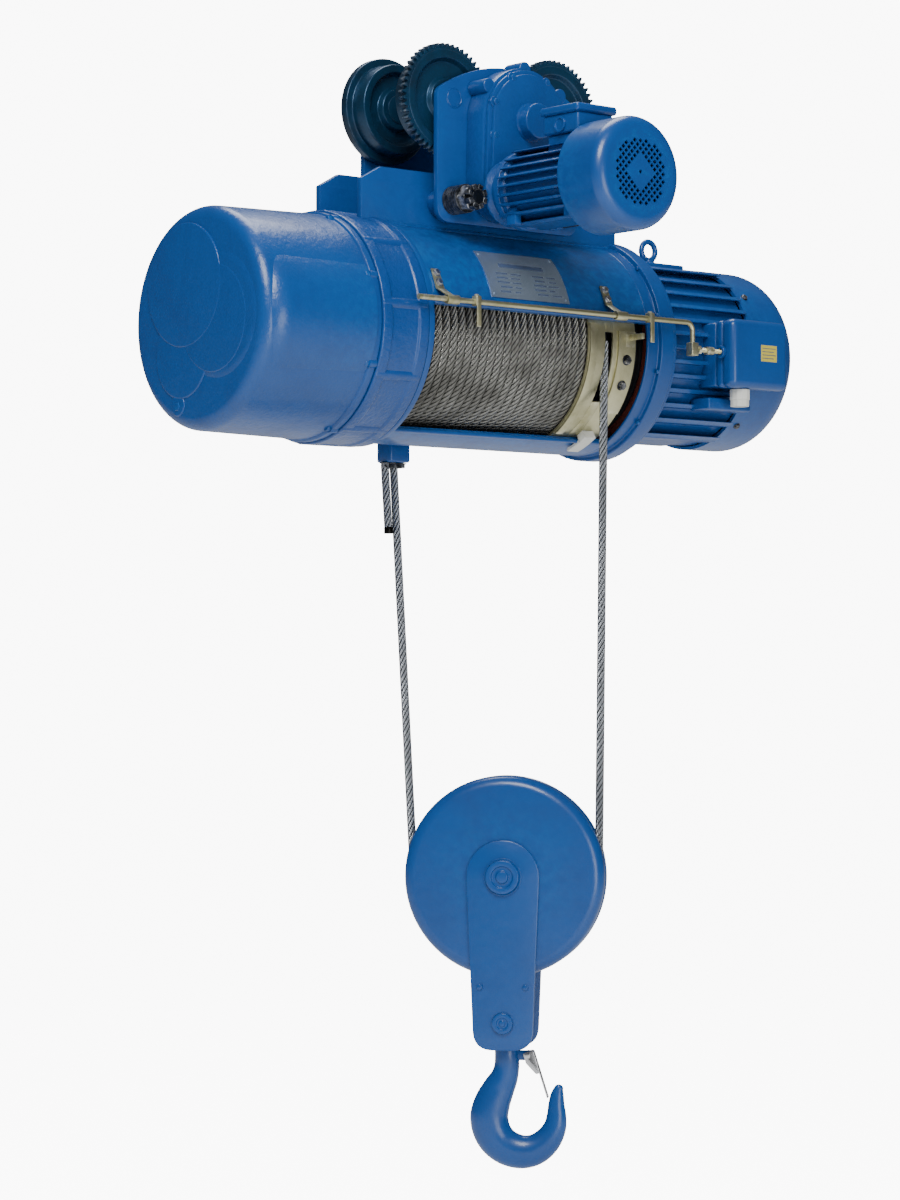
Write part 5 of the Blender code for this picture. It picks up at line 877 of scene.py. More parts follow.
# ------------------------------------------------------------------ the housing
@dataclass
class Housing(Assembly):
    """Drum tube with its window, ledge and flange ring, and the blank plate.

    Attributes:
        wall: tube wall.
        window: X of the window's two ends.
        open_from: angle of the window's lower edge, from the front, in degrees.
        open_to: angle of its upper edge.
    """

    wall: float = 0.005
    window: Point2 = (-0.206, 0.214)
    open_from: float = -64.0
    open_to: float = 10.0

    def build(self) -> None:
        """Build the tube and the plate on it."""
        inner, at = HOUSING_R - self.wall, (0, 0, DRUM_Z)
        left = soften([(-0.214, inner), (-0.214, 0.167), (-0.2045, 0.167), (-0.2045, 0.161),
                       (self.window[0], 0.161), (self.window[0], inner)], 0.0008, 2)
        right = soften([(self.window[1], inner), (self.window[1], HOUSING_R), (0.236, HOUSING_R),
                        (0.236, 0.1685), (0.262, 0.1685), (0.262, inner)], 0.0022, 4)
        made = Solid().turned(left, at, Toward.RIGHT, 144)
        made.turned(right, at, Toward.RIGHT, 144)
        shell = [(self.window[0], inner), (self.window[0], HOUSING_R),
                 (self.window[1], HOUSING_R), (self.window[1], inner)]
        made.turned(shell, at, Toward.RIGHT, 144, (self.open_to, 360.0 + self.open_from))
        ledge = DRUM_Z + HOUSING_R * math.sin(math.radians(self.open_to))
        made.block((self.window[0], -0.1690, ledge - 0.001), (self.window[1], -0.1560, ledge + 0.011),
                   0.003, 4)
        low = math.radians(self.open_from)
        made.block((self.window[0], -HOUSING_R * math.cos(low) - 0.004,
                    DRUM_Z + HOUSING_R * math.sin(low) - 0.004),
                   (self.window[1], -HOUSING_R * math.cos(low) + 0.010,
                    DRUM_Z + HOUSING_R * math.sin(low) + 0.0015), 0.0015, 3)
        self.show("Drum housing", made, PAINT, "drum_housing")
        bolts = Solid()
        for k in range(12):
            bolts.bolt(round_drum(0.2362, 0.1648, 30 * k + 15), Toward.LEFT, 0.0066, 0.004, False)
        self.show("Flange screws", bolts, PAINT)
        self._plate()

    def _plate(self) -> None:
        """Blank rating plate with rivets and plain printed bars."""
        at, low, high = (0, 0, DRUM_Z), 16.5, 46.0
        band = [(-0.088, 0.1613), (-0.088, 0.1624), (0.062, 0.1624), (0.062, 0.1613)]
        plate = Solid().turned(band, at, Toward.RIGHT, 144, (low, high))
        for x in (-0.082, 0.056):
            for angle in (low + 2.2, high - 2.2):
                rivet = Solid().screw((0, -0.1622, 0), Toward.FRONT, 0.0022)
                plate.add(rivet.moved(swing(x, angle)))
        self.show("Rating plate", plate, SILVER, "nameplate")
        bars = Solid()
        rng = random.Random(11)

        def bar(x0: float, x1: float, angle: float, width: float) -> None:
            """One printed bar across the plate."""
            bars.turned([(x0, 0.1622), (x0, 0.16255), (x1, 0.16255), (x1, 0.1622)], at,
                        Toward.RIGHT, 288, (angle - width, angle + width))

        bar(-0.055, 0.030, 36.5, 1.3)
        for row in range(5):
            angle = 31.0 - row * 2.7
            for column in (-0.070, 0.000):
                start = column + rng.uniform(0.0, 0.006)
                bar(start, start + rng.uniform(0.018, 0.024), angle, 0.35)
                start += 0.028
                bar(start, start + rng.uniform(0.010, 0.020), angle, 0.25)
        self.show("Plate print", bars, INK)


# ---------------------------------------------------------------- drum and rope
@dataclass
class RopeDrum(Assembly):
    """Grooved drum with the rope wound on it.

    Attributes:
        pitch: distance between wraps.
        rope: rope radius.
        centre: radius to the rope's middle.
        lay: length of one turn of the strands.
    """

    body: str = "rope_drum"
    pitch: float = 0.0146
    rope: float = 0.0065
    centre: float = 0.1435
    lay: float = ROPE_LAY

    def build(self) -> None:
        """Build the drum and its wraps."""
        at = (0, 0, DRUM_Z)
        top = []
        x = -0.2105
        while x < 0.227:
            rise = 0.0022 * (1 - math.cos(2 * math.pi * (x + 0.204) / self.pitch)) / 2
            top.append((x, 0.1348 + rise))
            x += self.pitch / 8
        profile = [(-0.2105, 0.127)] + top + [(0.2275, 0.135), (0.2275, 0.038), (0.2435, 0.038),
                                              (0.2435, 0.017), (0.205, 0.017), (0.205, 0.127)]
        self.show("Drum", Solid().turned(profile, at, Toward.RIGHT, 96), DRUM, "drum")
        first, last = -0.1972, 0.1270
        turns = (last - first) / self.pitch
        steps = int(turns * 72)
        path = []
        for i in range(steps + 1):
            turn = 2 * math.pi * turns * i / steps
            along = last - (last - first) * i / steps
            path.append((along, -self.centre * math.cos(turn),
                         DRUM_Z + self.centre * math.sin(turn)))
        wound = Solid().tube(path, self.rope - 0.0001, 12, lay=self.lay, across=Vector((1, 0, 0)))
        self.show("Wound rope", wound, WOUND, "rope_on_drum")
        ring = Solid().disc(0.2285, 0.2325, 0.1495, at, Toward.RIGHT, 96, 0.001, 2, bore=0.130)
        self.show("Drum end ring", ring, RUST)


@dataclass
class Guide(Assembly):
    """Rope guide: ring with its slot, clamp band, bolted side plate and tongue.

    Attributes:
        left: X of the ring's left end.
        right: X of its right end.
        slot: X of the middle of the slot.
        slot_half: half its width.
    """

    body: str = "rope_guide"
    left: float = 0.101
    right: float = 0.194
    slot: float = 0.141
    slot_half: float = 0.0080

    def build(self) -> None:
        """Build the guide."""
        at = (0, 0, DRUM_Z)
        inner, outer = 0.1512, 0.1553
        made = Solid()

        def band(x0: float, x1: float, r0: float, r1: float, arc: Optional[Point2] = None) -> None:
            """Add one band of the ring."""
            made.disc(x0, x1, r1, at, Toward.RIGHT, 144, 0.0007, 2, bore=r0, arc=arc)

        s0, s1 = self.slot - self.slot_half, self.slot + self.slot_half
        band(self.left, s0, inner, outer)
        band(s1, self.right, inner, outer)
        band(s0, s1, inner, outer, (4.0, 324.0))
        band(self.left + 0.0005, self.left + 0.014, outer - 0.001, 0.1592, (-60.0, 8.0))
        band(0.158, self.right - 0.002, outer - 0.001, 0.1586, (-42.0, 5.0))
        band(0.172, 0.190, outer, 0.1590, (-3.5, 3.8))
        made.block((0.180, -0.1840, DRUM_Z + 0.001), (0.186, -0.1545, DRUM_Z + 0.010), 0.001, 2)
        self.show("Rope guide", made, ZINC, "rope_guide")
        bolts = Solid()
        for angle in (-10.5, -24.5):
            bolt = Solid().bolt((0, -0.1582, 0), Toward.FRONT, 0.0125, 0.005)
            bolts.add(bolt.moved(swing(0.175, angle)))
        self.show("Guide bolts", bolts, BLACK)
        tongue = Solid().disc(0.150, 0.172, 0.1685, at, Toward.RIGHT, 144, 0.001, 2, bore=0.1556,
                              arc=(-62.0, -57.0))
        tongue.disc(0.150, 0.172, 0.1685, at, Toward.RIGHT, 144, 0.001, 2, bore=0.1632,
                    arc=(-72.0, -61.5))
        self.show("Guide tongue", tongue, PALE, "guide_tongue")


# --------------------------------------------------------------------- gearbox
@dataclass
class Gearbox(Assembly):
    """Cast ring of the gearbox and its bulged end cover.

    Attributes:
        ring: radius of the cast ring.
        flange: X of the face between ring and cover.
        end: X of the cover's end face.
        cover: cover radius.
        lobe: radius of the bulge over the first gear.
        lobe_y: Y of its middle.
    """

    ring: float = 0.169
    flange: float = -0.298
    end: float = -0.500
    cover: float = 0.158
    lobe: float = 0.118
    lobe_y: float = -0.050

    def build(self) -> None:
        """Build the ring, the cover and their screws."""
        at = (0, 0, DRUM_Z)
        profile = soften([(self.flange, 0.150), (self.flange, self.ring - 0.001),
                          (-0.282, self.ring - 0.001), (-0.279, 0.1655), (-0.234, 0.1655),
                          (-0.231, self.ring - 0.001), (-0.2145, self.ring - 0.001),
                          (-0.2145, 0.046), (-0.226, 0.046), (-0.226, 0.150)], 0.003, 4)
        ring = Solid().turned(profile, at, Toward.RIGHT, 144)
        for k in range(10):
            ring.disc(-0.2975, -0.2160, 0.0098, round_drum(0, 0.159, 36 * k + 8), Toward.RIGHT, 28,
                      0.003, 4)
        self.show("Gearbox ring", ring, CAST_DARK, "gearbox_housing")
        left, draft = self.end, 0.0035
        body = [(self.flange - 0.0005, 0.0), (self.flange - 0.0005, self.cover + 0.0068),
                (self.flange - 0.0115, self.cover + 0.0068), (self.flange - 0.0135, self.cover + draft)]
        body = soften(body, 0.002, 3, True, False)
        body += quarter(self.flange, left + 0.0030, self.cover, 0.019) + [(left + 0.0030, 0.0)]
        made = Solid().turned(body, at, Toward.RIGHT, 160)
        bulge = ([(self.flange - 0.012, 0.0), (self.flange - 0.012, self.lobe + 0.0015)]
                 + quarter(self.flange, left + 0.0012, self.lobe - 0.0005, 0.042, 14)
                 + [(left + 0.0012, 0.0)])
        made.turned(bulge, (0, self.lobe_y, DRUM_Z), Toward.RIGHT, 128)
        for y, z, radius, sunk in ((0.030, 0.048, 0.088, 0.0002), (-0.040, -0.004, 0.076, 0.0006),
                                   (0.036, -0.050, 0.062, 0.0010), (0.046, -0.120, 0.016, 0.0014)):
            made.disc(left + 0.012, left + sunk, radius, (0, y, DRUM_Z + z), Toward.RIGHT, 96,
                      0.0028, 5)
        for k in range(8):
            made.disc(-0.3105, -0.2985, 0.0072, round_drum(0, 0.160, 45 * k + 22), Toward.RIGHT, 24,
                      0.0012, 3)
        self.show("Gearbox cover", made, CAST, "gearbox_cover")
        bolts = Solid()
        for k in range(8):
            bolts.bolt(round_drum(-0.3100, 0.1598, 45 * k + 22), Toward.LEFT, 0.0115, 0.006)
        bolts.bolt((self.end + 0.0052, 0.046, DRUM_Z - 0.122), Toward.LEFT, 0.013, 0.0050, False)
        self.show("Gearbox screws", bolts, PAINT)


# ----------------------------------------------------------------- hoist motor
@dataclass
class HoistMotor(Assembly):
    """Finned frame, end cover, eye bolt, limit switch box and its gland.

    Attributes:
        left: X of the frame's left end.
        right: X of the frame's right end.
        end: X of the cover's end.
        cover: cover radius.
        eye_x: X of the lifting eye.
    """

    left: float = 0.2626
    right: float = 0.452
    end: float = 0.568
    cover: float = 0.141
    eye_x: float = 0.367

    def build(self) -> None:
        """Build the motor's outside."""
        outline = [(u, v + DRUM_Z) for u, v in fins(0.127, MOTOR_FIN_R, 0.0215, 0.0062, 6)]
        made = Solid().plate([outline], self.left + 0.008, self.right, "YZ", 0.0008)
        made.disc(self.left + 0.009, self.right - 0.0005, 0.1345, (0, 0, DRUM_Z), Toward.RIGHT, 96,
                  0.001, 2, bore=0.126)
        made.turned(soften([(self.left, 0.114), (self.left, 0.1635), (self.left + 0.009, 0.1635),
                            (self.left + 0.019, 0.140), (self.left + 0.019, 0.114)], 0.003, 4),
                    (0, 0, DRUM_Z), Toward.RIGHT, 120)
        top = DRUM_Z + MOTOR_FIN_R
        made.block((self.eye_x - 0.022, -0.018, top - 0.030), (self.eye_x + 0.060, 0.018, top),
                   0.003, 3)
        made.block((0.356, -0.1606, DRUM_Z - 0.058), (0.450, -0.118, DRUM_Z + 0.040), 0.004, 3)
        made.block((0.350, -0.152, DRUM_Z - 0.092), (0.440, -0.110, DRUM_Z - 0.074), 0.003, 3)
        self.show("Motor frame", made, CAST, "hoist_motor_frame")
        body = [(self.right + 0.0005, 0.136), (self.right + 0.0005, self.cover)]
        body += quarter(self.right, self.end, self.cover, 0.050, 14)
        body += [(self.end, 0.0), (self.end - 0.004, 0.0)]
        body += quarter(self.right, self.end - 0.004, self.cover - 0.004, 0.047, 12)[::-1]
        made = Solid().turned(body, (0, 0, DRUM_Z), Toward.RIGHT, 144)
        self.show("Motor end cover", made, PAINT, "hoist_motor_cover")
        screws = Solid()
        for k in range(4):
            screw = Solid().bolt((0, -0.1408, 0), Toward.FRONT, 0.009, 0.003)
            screws.add(screw.moved(swing(0.470, 90 * k + 40)))
        self.show("Motor cover screws", screws, BLACK)
        ring = [(self.eye_x + 0.0145 * math.cos(a), 0.0, top + 0.0195 + 0.0145 * math.sin(a))
                for a in (2 * math.pi * k / 48 for k in range(48))]
        eye = Solid().tube(ring, 0.0044, 16, closed=True, across=Vector((0, 1, 0)))
        eye.turned(soften([(0, 0), (0, 0.0095), (0.003, 0.0095), (0.0055, 0.006), (0.0065, 0.0)],
                          0.001, 3, True), (self.eye_x, 0, top + 0.0003), Toward.UP, 32)
        self.show("Lifting eye", eye, PAINT, "eye_bolt")
        self._switch_box()

    def _switch_box(self) -> None:
        """Rounded lid, base seam, label, screw and cable gland."""
        low, high = DRUM_Z - 0.062, DRUM_Z + 0.044
        box = Solid().block((0.3525, -0.2019, low + 0.0005), (0.4725, -0.1740, high - 0.0005),
                            0.0110, 6)
        box.block((0.3545, -0.1765, low + 0.002), (0.4705, -0.1612, high - 0.002), 0.006, 4)
        box.disc(0, 0.006, 0.0095, (0.3465, -0.178, -0.280), Toward.RIGHT, 32, 0.001, 3,
                 bore=0.0052)
        self.show("Switch box", box, PAINT, "switch_box")
        label = Solid().block((0.4120, -0.20215, DRUM_Z - 0.019), (0.4460, -0.2016, DRUM_Z + 0.006),
                              0.0002, 1)
        self.show("Blank label", label, LABEL)
        rows = Solid()
        for k in range(4):
            z = DRUM_Z + 0.001 - k * 0.005
            rows.block((0.4145, -0.20225, z - 0.0006), (0.4435 - 0.004 * (k % 2), -0.2020, z + 0.0006),
                       0.0001, 1)
        self.show("Label lines", rows, INK)
        gland = Solid().turned(soften([(0, 0.0095), (0, 0.0145), (0.010, 0.0145), (0.0105, 0.0155),
                                       (0.026, 0.0155), (0.026, 0.0095)], 0.0008, 2),
                               (0.388, -0.180, low - 0.0263), Toward.UP, 12)
        self.show("Cable gland", gland, PALE, "cable_gland", sharp=math.radians(25))


# ------------------------------------------------------------------ limit gear
@dataclass
class LimitGear(Assembly):
    """Sliding rod with its stops and fork, and the two brackets.

    Attributes:
        y: Y of the rod.
        z: Z of the rod.
        radius: rod radius.
    """

    y: float = -0.178
    z: float = -0.240
    radius: float = 0.004

    def build(self) -> None:
        """Build the rod and its brackets."""
        path = [(-0.244, 0, 0), (-0.1, 0, 0), (0.1, 0, 0), (0.276, 0, 0)]
        path += [(0.278 + 0.012 * math.sin(a), 0, -0.012 + 0.012 * math.cos(a))
                 for a in (math.radians(15 * k) for k in range(1, 7))]
        path += [(0.290, 0, -0.034)]
        rod = Solid().tube([(x, self.y, self.z + z) for x, _, z in path], self.radius, 20,
                           across=Vector((0, 1, 0)))
        for x in (-0.137, 0.202):
            rod.block((x - 0.0038, self.y - 0.0068, self.z - 0.036),
                      (x + 0.0038, self.y - 0.0040, self.z + 0.008), 0.0008, 3)
            rod.block((x - 0.0045, self.y - 0.0052, self.z - 0.0058),
                      (x + 0.0045, self.y + 0.0055, self.z + 0.0085), 0.0012, 3)
            rod.bolt((x, self.y - 0.0062, self.z + 0.0045), Toward.FRONT, 0.0085, 0.0005, False)
            rod.bolt((x, self.y, self.z + 0.0088), Toward.UP, 0.007, 0.002, False)
        low = self.z - 0.040
        rod.block((0.283, self.y - 0.007, low - 0.010), (0.297, self.y + 0.007, low + 0.010),
                  0.0015, 3)
        thread = [(0.292, 0.0)]
        x = 0.292
        while x < 0.372:
            thread += [(x, 0.0034), (x + 0.0006, 0.0029)]
            x += 0.0012
        thread += [(0.3735, 0.0029), (0.3735, 0.0)]
        rod.turned(thread, (0, self.y, low), Toward.RIGHT, 20)
        for x in (0.300, 0.318):
            rod.turned([(x, 0.0), (x, 0.0068), (x + 0.005, 0.0068), (x + 0.005, 0.0)],
                       (0, self.y, low), Toward.RIGHT, 6)
        for k in range(4):
            x = 0.3245 + k * 0.0024
            ring = [(x, self.y + 0.0055 * math.cos(a), low + 0.0055 * math.sin(a))
                    for a in (2 * math.pi * j / 20 for j in range(20))]
            rod.tube(ring, 0.0008, 6, closed=True)
        self.show("Limit rod", rod, ZINC, "limit_rod", body="limit_rod")
        for hand, x in (("left", -0.186), ("right", 0.139)):
            self._bracket(hand, x)

    def _bracket(self, hand: str, x: float) -> None:
        """One strip bracket with its sleeve and two screws."""
        top, foot = math.radians(29.0), math.radians(18.0)
        face, back = 0.1622, 0.1647
        run = [(-face * math.cos(top), face * math.sin(top)),
               (-face * math.cos((top + foot) / 2), face * math.sin((top + foot) / 2)),
               (-face * math.cos(foot), face * math.sin(foot)), (self.y + 0.001, 0.0382),
               (self.y - 0.002, 0.0382), (-back * math.cos(foot) - 0.001, back * math.sin(foot)),
               (-back * math.cos((top + foot) / 2), back * math.sin((top + foot) / 2)),
               (-back * math.cos(top), back * math.sin(top))]
        strip = Solid().plate([[(u, v + DRUM_Z) for u, v in run]], x - 0.007, x + 0.007, "YZ", 0.0004)
        strip.disc(-0.007, 0.015, 0.0067, (x, self.y, self.z), Toward.RIGHT, 32, 0.0006, 2,
                   bore=0.0046)
        self.show("Rod bracket " + hand, strip, ZINC, "rod_bracket_" + hand)
        screws = Solid()
        for angle in (21.0, 26.5):
            screw = Solid().bolt((0, -0.1645, 0), Toward.FRONT, 0.0100, 0.0036)
            screws.add(screw.moved(swing(x, angle)))
        self.show("Bracket screws " + hand, screws, STEEL)


# --------------------------------------------------------------- trolley drive
@dataclass
class TrolleyDrive(Assembly):
    """Reducer, trolley motor with its fan cover and terminal box.

    Attributes:
        gear: X, Z of the drive pinion.
        lower: X, Z of the reducer's lower lobe.
        motor: X, Z of the trolley motor's axis.
        fan: radius of the fan cover.
    """

    gear: Point2 = (0.0, 0.0359)
    lower: Point2 = (-0.021, -0.048)
    motor: Point2 = (-0.042, -0.073)
    fan: float = 0.080

    def _hull(self, first: float, second: float) -> list[Point2]:
        """Return the outline round the reducer's two circles."""
        a, b = Vector(self.gear), Vector(self.lower)
        gap = b - a
        heading = math.atan2(gap.y, gap.x)
        spread = math.acos((first - second) / gap.length)
        points = [(b.x + second * math.cos(t), b.y + second * math.sin(t))
                  for t in (heading - spread + 2 * spread * k / 30 for k in range(31))]
        sweep = 2 * math.pi - 2 * spread
        points += [(a.x + first * math.cos(t), a.y + first * math.sin(t))
                   for t in (heading + spread + sweep * k / 48 for k in range(49))]
        return points

    def build(self) -> None:
        """Build the drive's outside."""
        made = Solid().plate([self._hull(0.081, 0.062)], -0.1280, -0.0905, bevel=0.002)
        for angle in (35.0, 90.0, 145.0, 215.0):
            turn = math.radians(angle)
            x, z = self.gear[0] + 0.0845 * math.cos(turn), self.gear[1] + 0.0845 * math.sin(turn)
            if angle == 90.0:
                z -= 0.004
            made.disc(0.0907, 0.1279, 0.0108, (x, 0, z), Toward.FRONT, 32, 0.002, 3)
        self.show("Reducer housing", made, CAST, "reducer_housing")
        cover = Solid().plate([self._hull(0.077, 0.059)], -0.1345, -0.1284, bevel=0.0015)
        cover.plate([self._hull(0.071, 0.053)], -0.1400, -0.1340, bevel=0.0025)
        cover.turned(soften([(0.139, 0.0), (0.139, 0.030), (0.144, 0.027), (0.160, 0.026),
                             (0.160, 0.0)], 0.003, 4, True), (self.gear[0], 0, self.gear[1]),
                     Toward.FRONT, 56)
        cover.turned(soften([(0.139, 0.0), (0.139, 0.050), (0.150, 0.042), (0.167, 0.044),
                             (0.168, 0.0568), (0.180, 0.0568), (0.180, 0.0)], 0.0025, 4, True),
                     (self.motor[0], 0, self.motor[1]), Toward.FRONT, 72)
        for angle in (45.0, 135.0, 225.0, 315.0):
            turn = math.radians(angle)
            x, z = self.motor[0] + 0.052 * math.cos(turn), self.motor[1] + 0.052 * math.sin(turn)
            cover.bolt((x, -0.1682, z), Toward.BACK, 0.0085, 0.005, False)
        for turn in (math.radians(a) for a in (20.0, 62.0, 118.0, 160.0, 200.0)):
            x, z = self.gear[0] + 0.0705 * math.cos(turn), self.gear[1] + 0.0705 * math.sin(turn)
            cover.disc(0.130, 0.1368, 0.0082, (x, 0, z), Toward.FRONT, 24, 0.0012, 3)
            cover.bolt((x, -0.1366, z), Toward.FRONT, 0.0100, 0.004, False)
        self.show("Reducer cover", cover, CAST, "reducer_cover")
        self._motor()
        self._fan_cover()

    def _motor(self) -> None:
        """Finned body and terminal box."""
        x, z = self.motor
        outline = [(u + x, v + z) for u, v in fins(0.052, 0.0618, 0.0132, 0.0036, 4)]
        body = Solid().plate([outline], -0.3515, -0.1830, bevel=0.0006)
        body.turned(soften([(0.1805, 0.0), (0.1805, 0.0560), (0.189, 0.0560), (0.192, 0.0525),
                            (0.192, 0.0)], 0.002, 3, True), (x, 0, z), Toward.FRONT, 64)
        body.disc(0.326, 0.352, 0.060, (x, 0, z), Toward.FRONT, 64, 0.002, 3)
        body.block((x - 0.028, -0.322, z + 0.044), (x + 0.028, -0.256, z + 0.0660), 0.002, 3)
        for side in (-1, 1):
            for y in (-0.196, -0.318):
                body.block((x + side * 0.040 - 0.006, y - 0.010, z - 0.0545),
                           (x + side * 0.040 + 0.006, y + 0.010, z - 0.030), 0.002, 2)
        self.show("Trolley motor", body, CAST, "trolley_motor_body")
        box = Solid().block((x - 0.034, -0.3255, z + 0.0664), (x + 0.034, -0.2525, 0.0215), 0.004, 4)
        box.block((x - 0.0388, -0.3298, 0.0205), (x + 0.0388, -0.2482, 0.0329), 0.0045, 5)
        box.turned(soften([(-0.001, 0.0), (-0.001, 0.0115), (0.0035, 0.0115), (0.0035, 0.0085),
                           (0.0015, 0.0080), (0.0015, 0.0)], 0.0008, 3, True),
                   (x - 0.0338, -0.289, 0.0060), Toward.LEFT, 32)
        self.show("Terminal box", box, CAST, "terminal_box")

    def _fan_cover(self) -> None:
        """Drawn cup with a grille of square holes round a solid diamond, and a near-black disc behind
        the grille as painted shade.
        """
        x, z = self.motor
        back, front, wall, size = 0.334, 0.418, 0.0025, 0.018
        outer = quarter(back, front, self.fan, size, 12)
        inner = quarter(back, front - wall, self.fan - wall, size - 0.002, 12)
        cut = 0.0540
        profile = ([(back, self.fan)] + outer + [(front, cut), (front - wall, cut)]
                   + inner[::-1] + [(back, self.fan - wall)])
        made = Solid().turned(profile, (x, 0, z), Toward.FRONT, 128)
        holes: list[list[Point2]] = []
        step, half = 0.0108, 0.0038
        for i in range(-8, 9):
            for j in range(-8, 9):
                u, v = (i + j) * step / 2, (i - j) * step / 2
                if math.hypot(u, v) > 0.0475 or max(abs(i), abs(j)) * step < 0.030:
                    continue
                holes.append([(x + u - half, z + v), (x + u, z + v - half), (x + u + half, z + v),
                              (x + u, z + v + half)])
        holes.append(circle((x, z), 0.0028, 16))
        disc = circle((x, z), cut + 0.0005, 96)
        made.plate([disc] + holes, -front + 0.0001, -front + wall, bevel=0.0)
        made.disc(back - 0.001, back + 0.004, self.fan - 0.0001, (x, 0, z), Toward.FRONT, 96,
                  0.0004, 2, bore=self.fan - 0.001)
        self.show("Fan cover", made, PAINT, "fan_cover")
        # near-black disc just behind the grille, using the drum's dark finish: painted shade so the
        # holes look dark
        shade = Solid().turned([(0.4080, 0.0), (0.4080, 0.060), (0.4088, 0.060), (0.4088, 0.0)],
                               (x, 0, z), Toward.FRONT, 64)
        self.show("Fan painted shade", shade, DRUM)


# ------------------------------------------------------------------ hook block
@dataclass
class HookBlock(Assembly):
    """Sheave with its covers, straps, crosshead, hook and latch.

    Attributes:
        centre: the sheave's middle.
        turn: the block's turn about Z, in degrees.
        disc: cover radius.
        drop: sheave pin down to the crosshead pin.
    """

    body: str = "hook_block"
    centre: Point3 = (0.0436, -0.0332, -1.068)
    turn: float = -48.5
    disc: float = 0.149
    drop: float = 0.215

    def place(self, down: float = 0.0) -> Matrix:
        """Return the block's placement, `down` below the sheave's middle."""
        at = Vector(self.centre) - Vector((0, 0, down))
        return Matrix.Translation(at) @ Matrix.Rotation(math.radians(self.turn), 4, "Z")

    def build(self) -> None:
        """Build the block from the sheave down to the latch."""
        self._sheave()
        self._covers()
        self._straps()
        self._crosshead()
        self._hook()
        self._latch()

    def _sheave(self) -> None:
        """Grooved sheave and the rope under it."""
        groove = [(0.0064 * math.sin(math.radians(a)) * 1.12,
                   0.138 - 0.0076 * math.cos(math.radians(a))) for a in range(-60, 61, 12)]
        profile = ([(-0.017, 0.122), (-0.017, 0.1438), (-0.0125, 0.1438)] + groove
                   + [(0.0125, 0.1438), (0.017, 0.1438), (0.017, 0.122), (0.006, 0.116),
                      (0.006, 0.036), (0.0285, 0.036), (0.0285, 0.0208), (-0.0285, 0.0208),
                      (-0.0285, 0.036), (-0.006, 0.036), (-0.006, 0.116)])
        made = Solid().turned(profile, (0, 0, 0), Toward.FRONT, 96).moved(self.place())
        self.show("Sheave", made, IRON, "sheave", body="sheave")
        path = [(0.1386 * math.cos(math.radians(a)), 0.0, 0.1386 * math.sin(math.radians(a)))
                for a in range(180, 361, 2)]
        rope = Solid().tube(path, 0.0062, 16, lay=ROPE_LAY, across=Vector((0, 1, 0)))
        self.show("Rope on sheave", rope.moved(self.place()), ROPE, "rope_on_sheave")

    def _covers(self) -> None:
        """Two dished covers."""
        for name, toward in (("front", Toward.FRONT), ("rear", Toward.BACK)):
            outer = [(0.0085, self.disc - 0.0022), (0.008, self.disc - 0.001), (0.0085, self.disc)]
            outer += quarter(0.008, 0.033, self.disc, 0.017, 10)
            inner = quarter(0.008, 0.0305, self.disc - 0.0025, 0.0150, 8)[::-1]
            profile = outer + [(0.033, 0.022), (0.0305, 0.022)] + inner
            made = Solid().turned(profile, (0, 0, 0), toward, 144).moved(self.place())
            self.show("Sheave cover " + name, made, PAINT, "sheave_cover_" + name)

    def _straps(self) -> None:
        """Two straps, the sheave pin and the tie rods between the straps."""
        foot = -self.drop - 0.040
        arch = [(0.054 * math.cos(math.radians(a)), 0.054 * math.sin(math.radians(a)))
                for a in range(0, 181, 6)]
        lower = soften([(-0.0535, -0.02), (-0.0435, foot), (0.0435, foot), (0.0535, -0.02)], 0.030,
                       10, closed=False)
        edge = arch + lower
        for name, side in (("front", -1), ("rear", 1)):
            low, high = sorted((side * 0.0334, side * 0.0392))
            made = Solid().plate([edge], low, high, bevel=0.0015).moved(self.place())
            self.show("Strap " + name, made, PAINT, "strap_" + name)
        pin = Solid()
        for toward in (Toward.FRONT, Toward.BACK):
            pin.turned(soften([(0.0390, 0.0), (0.0390, 0.0262), (0.0475, 0.0245), (0.0475, 0.0165),
                               (0.0445, 0.0155), (0.0445, 0.0095), (0.0480, 0.0085), (0.0480, 0.0)],
                              0.0012, 3, True), (0, 0, 0), toward, 64)
            pin.turned(soften([(0.0392, 0.0262), (0.0392, 0.0278), (0.0415, 0.0278),
                               (0.0415, 0.0255)], 0.0006, 2), (0, 0, 0), toward, 64)
        pin.turned([(-0.0392, 0.0), (-0.0392, 0.0199), (0.0392, 0.0199), (0.0392, 0.0)],
                   (0, 0, 0), Toward.FRONT, 48)
        self.show("Sheave pin", pin.moved(self.place()), PAINT, "sheave_pin")
        rods = Solid()
        for side in (-1, 1):
            at = (side * 0.034, 0, -0.162)
            rods.disc(-0.0332, 0.0332, 0.0064, at, Toward.FRONT, 24, 0.0005, 2)
            for toward in (Toward.FRONT, Toward.BACK):
                rods.turned(soften([(0.0390, 0.0), (0.0390, 0.0048), (0.0415, 0.0040),
                                    (0.0422, 0.0)], 0.0008, 3, True), at, toward, 24)
        self.show("Tie rods", rods.moved(self.place()), PAINT)

    def _crosshead(self) -> None:
        """Crosshead with its trunnions and caps."""
        made = Solid().block((-0.0338, -0.0322, -0.0218), (0.0338, 0.0322, 0.0218), 0.004, 4)
        for toward in (Toward.FRONT, Toward.BACK):
            made.turned(soften([(0.030, 0.0), (0.030, 0.0118), (0.0395, 0.0118), (0.0395, 0.0162),
                                (0.0452, 0.0150), (0.0452, 0.0090), (0.0435, 0.0080),
                                (0.0435, 0.0045), (0.0456, 0.0040), (0.0456, 0.0)], 0.0008, 3,
                               True), (0, 0, 0), toward, 48)
        self.show("Crosshead", made.moved(self.place(self.drop)), PAINT, "crosshead",
                  body="crosshead")

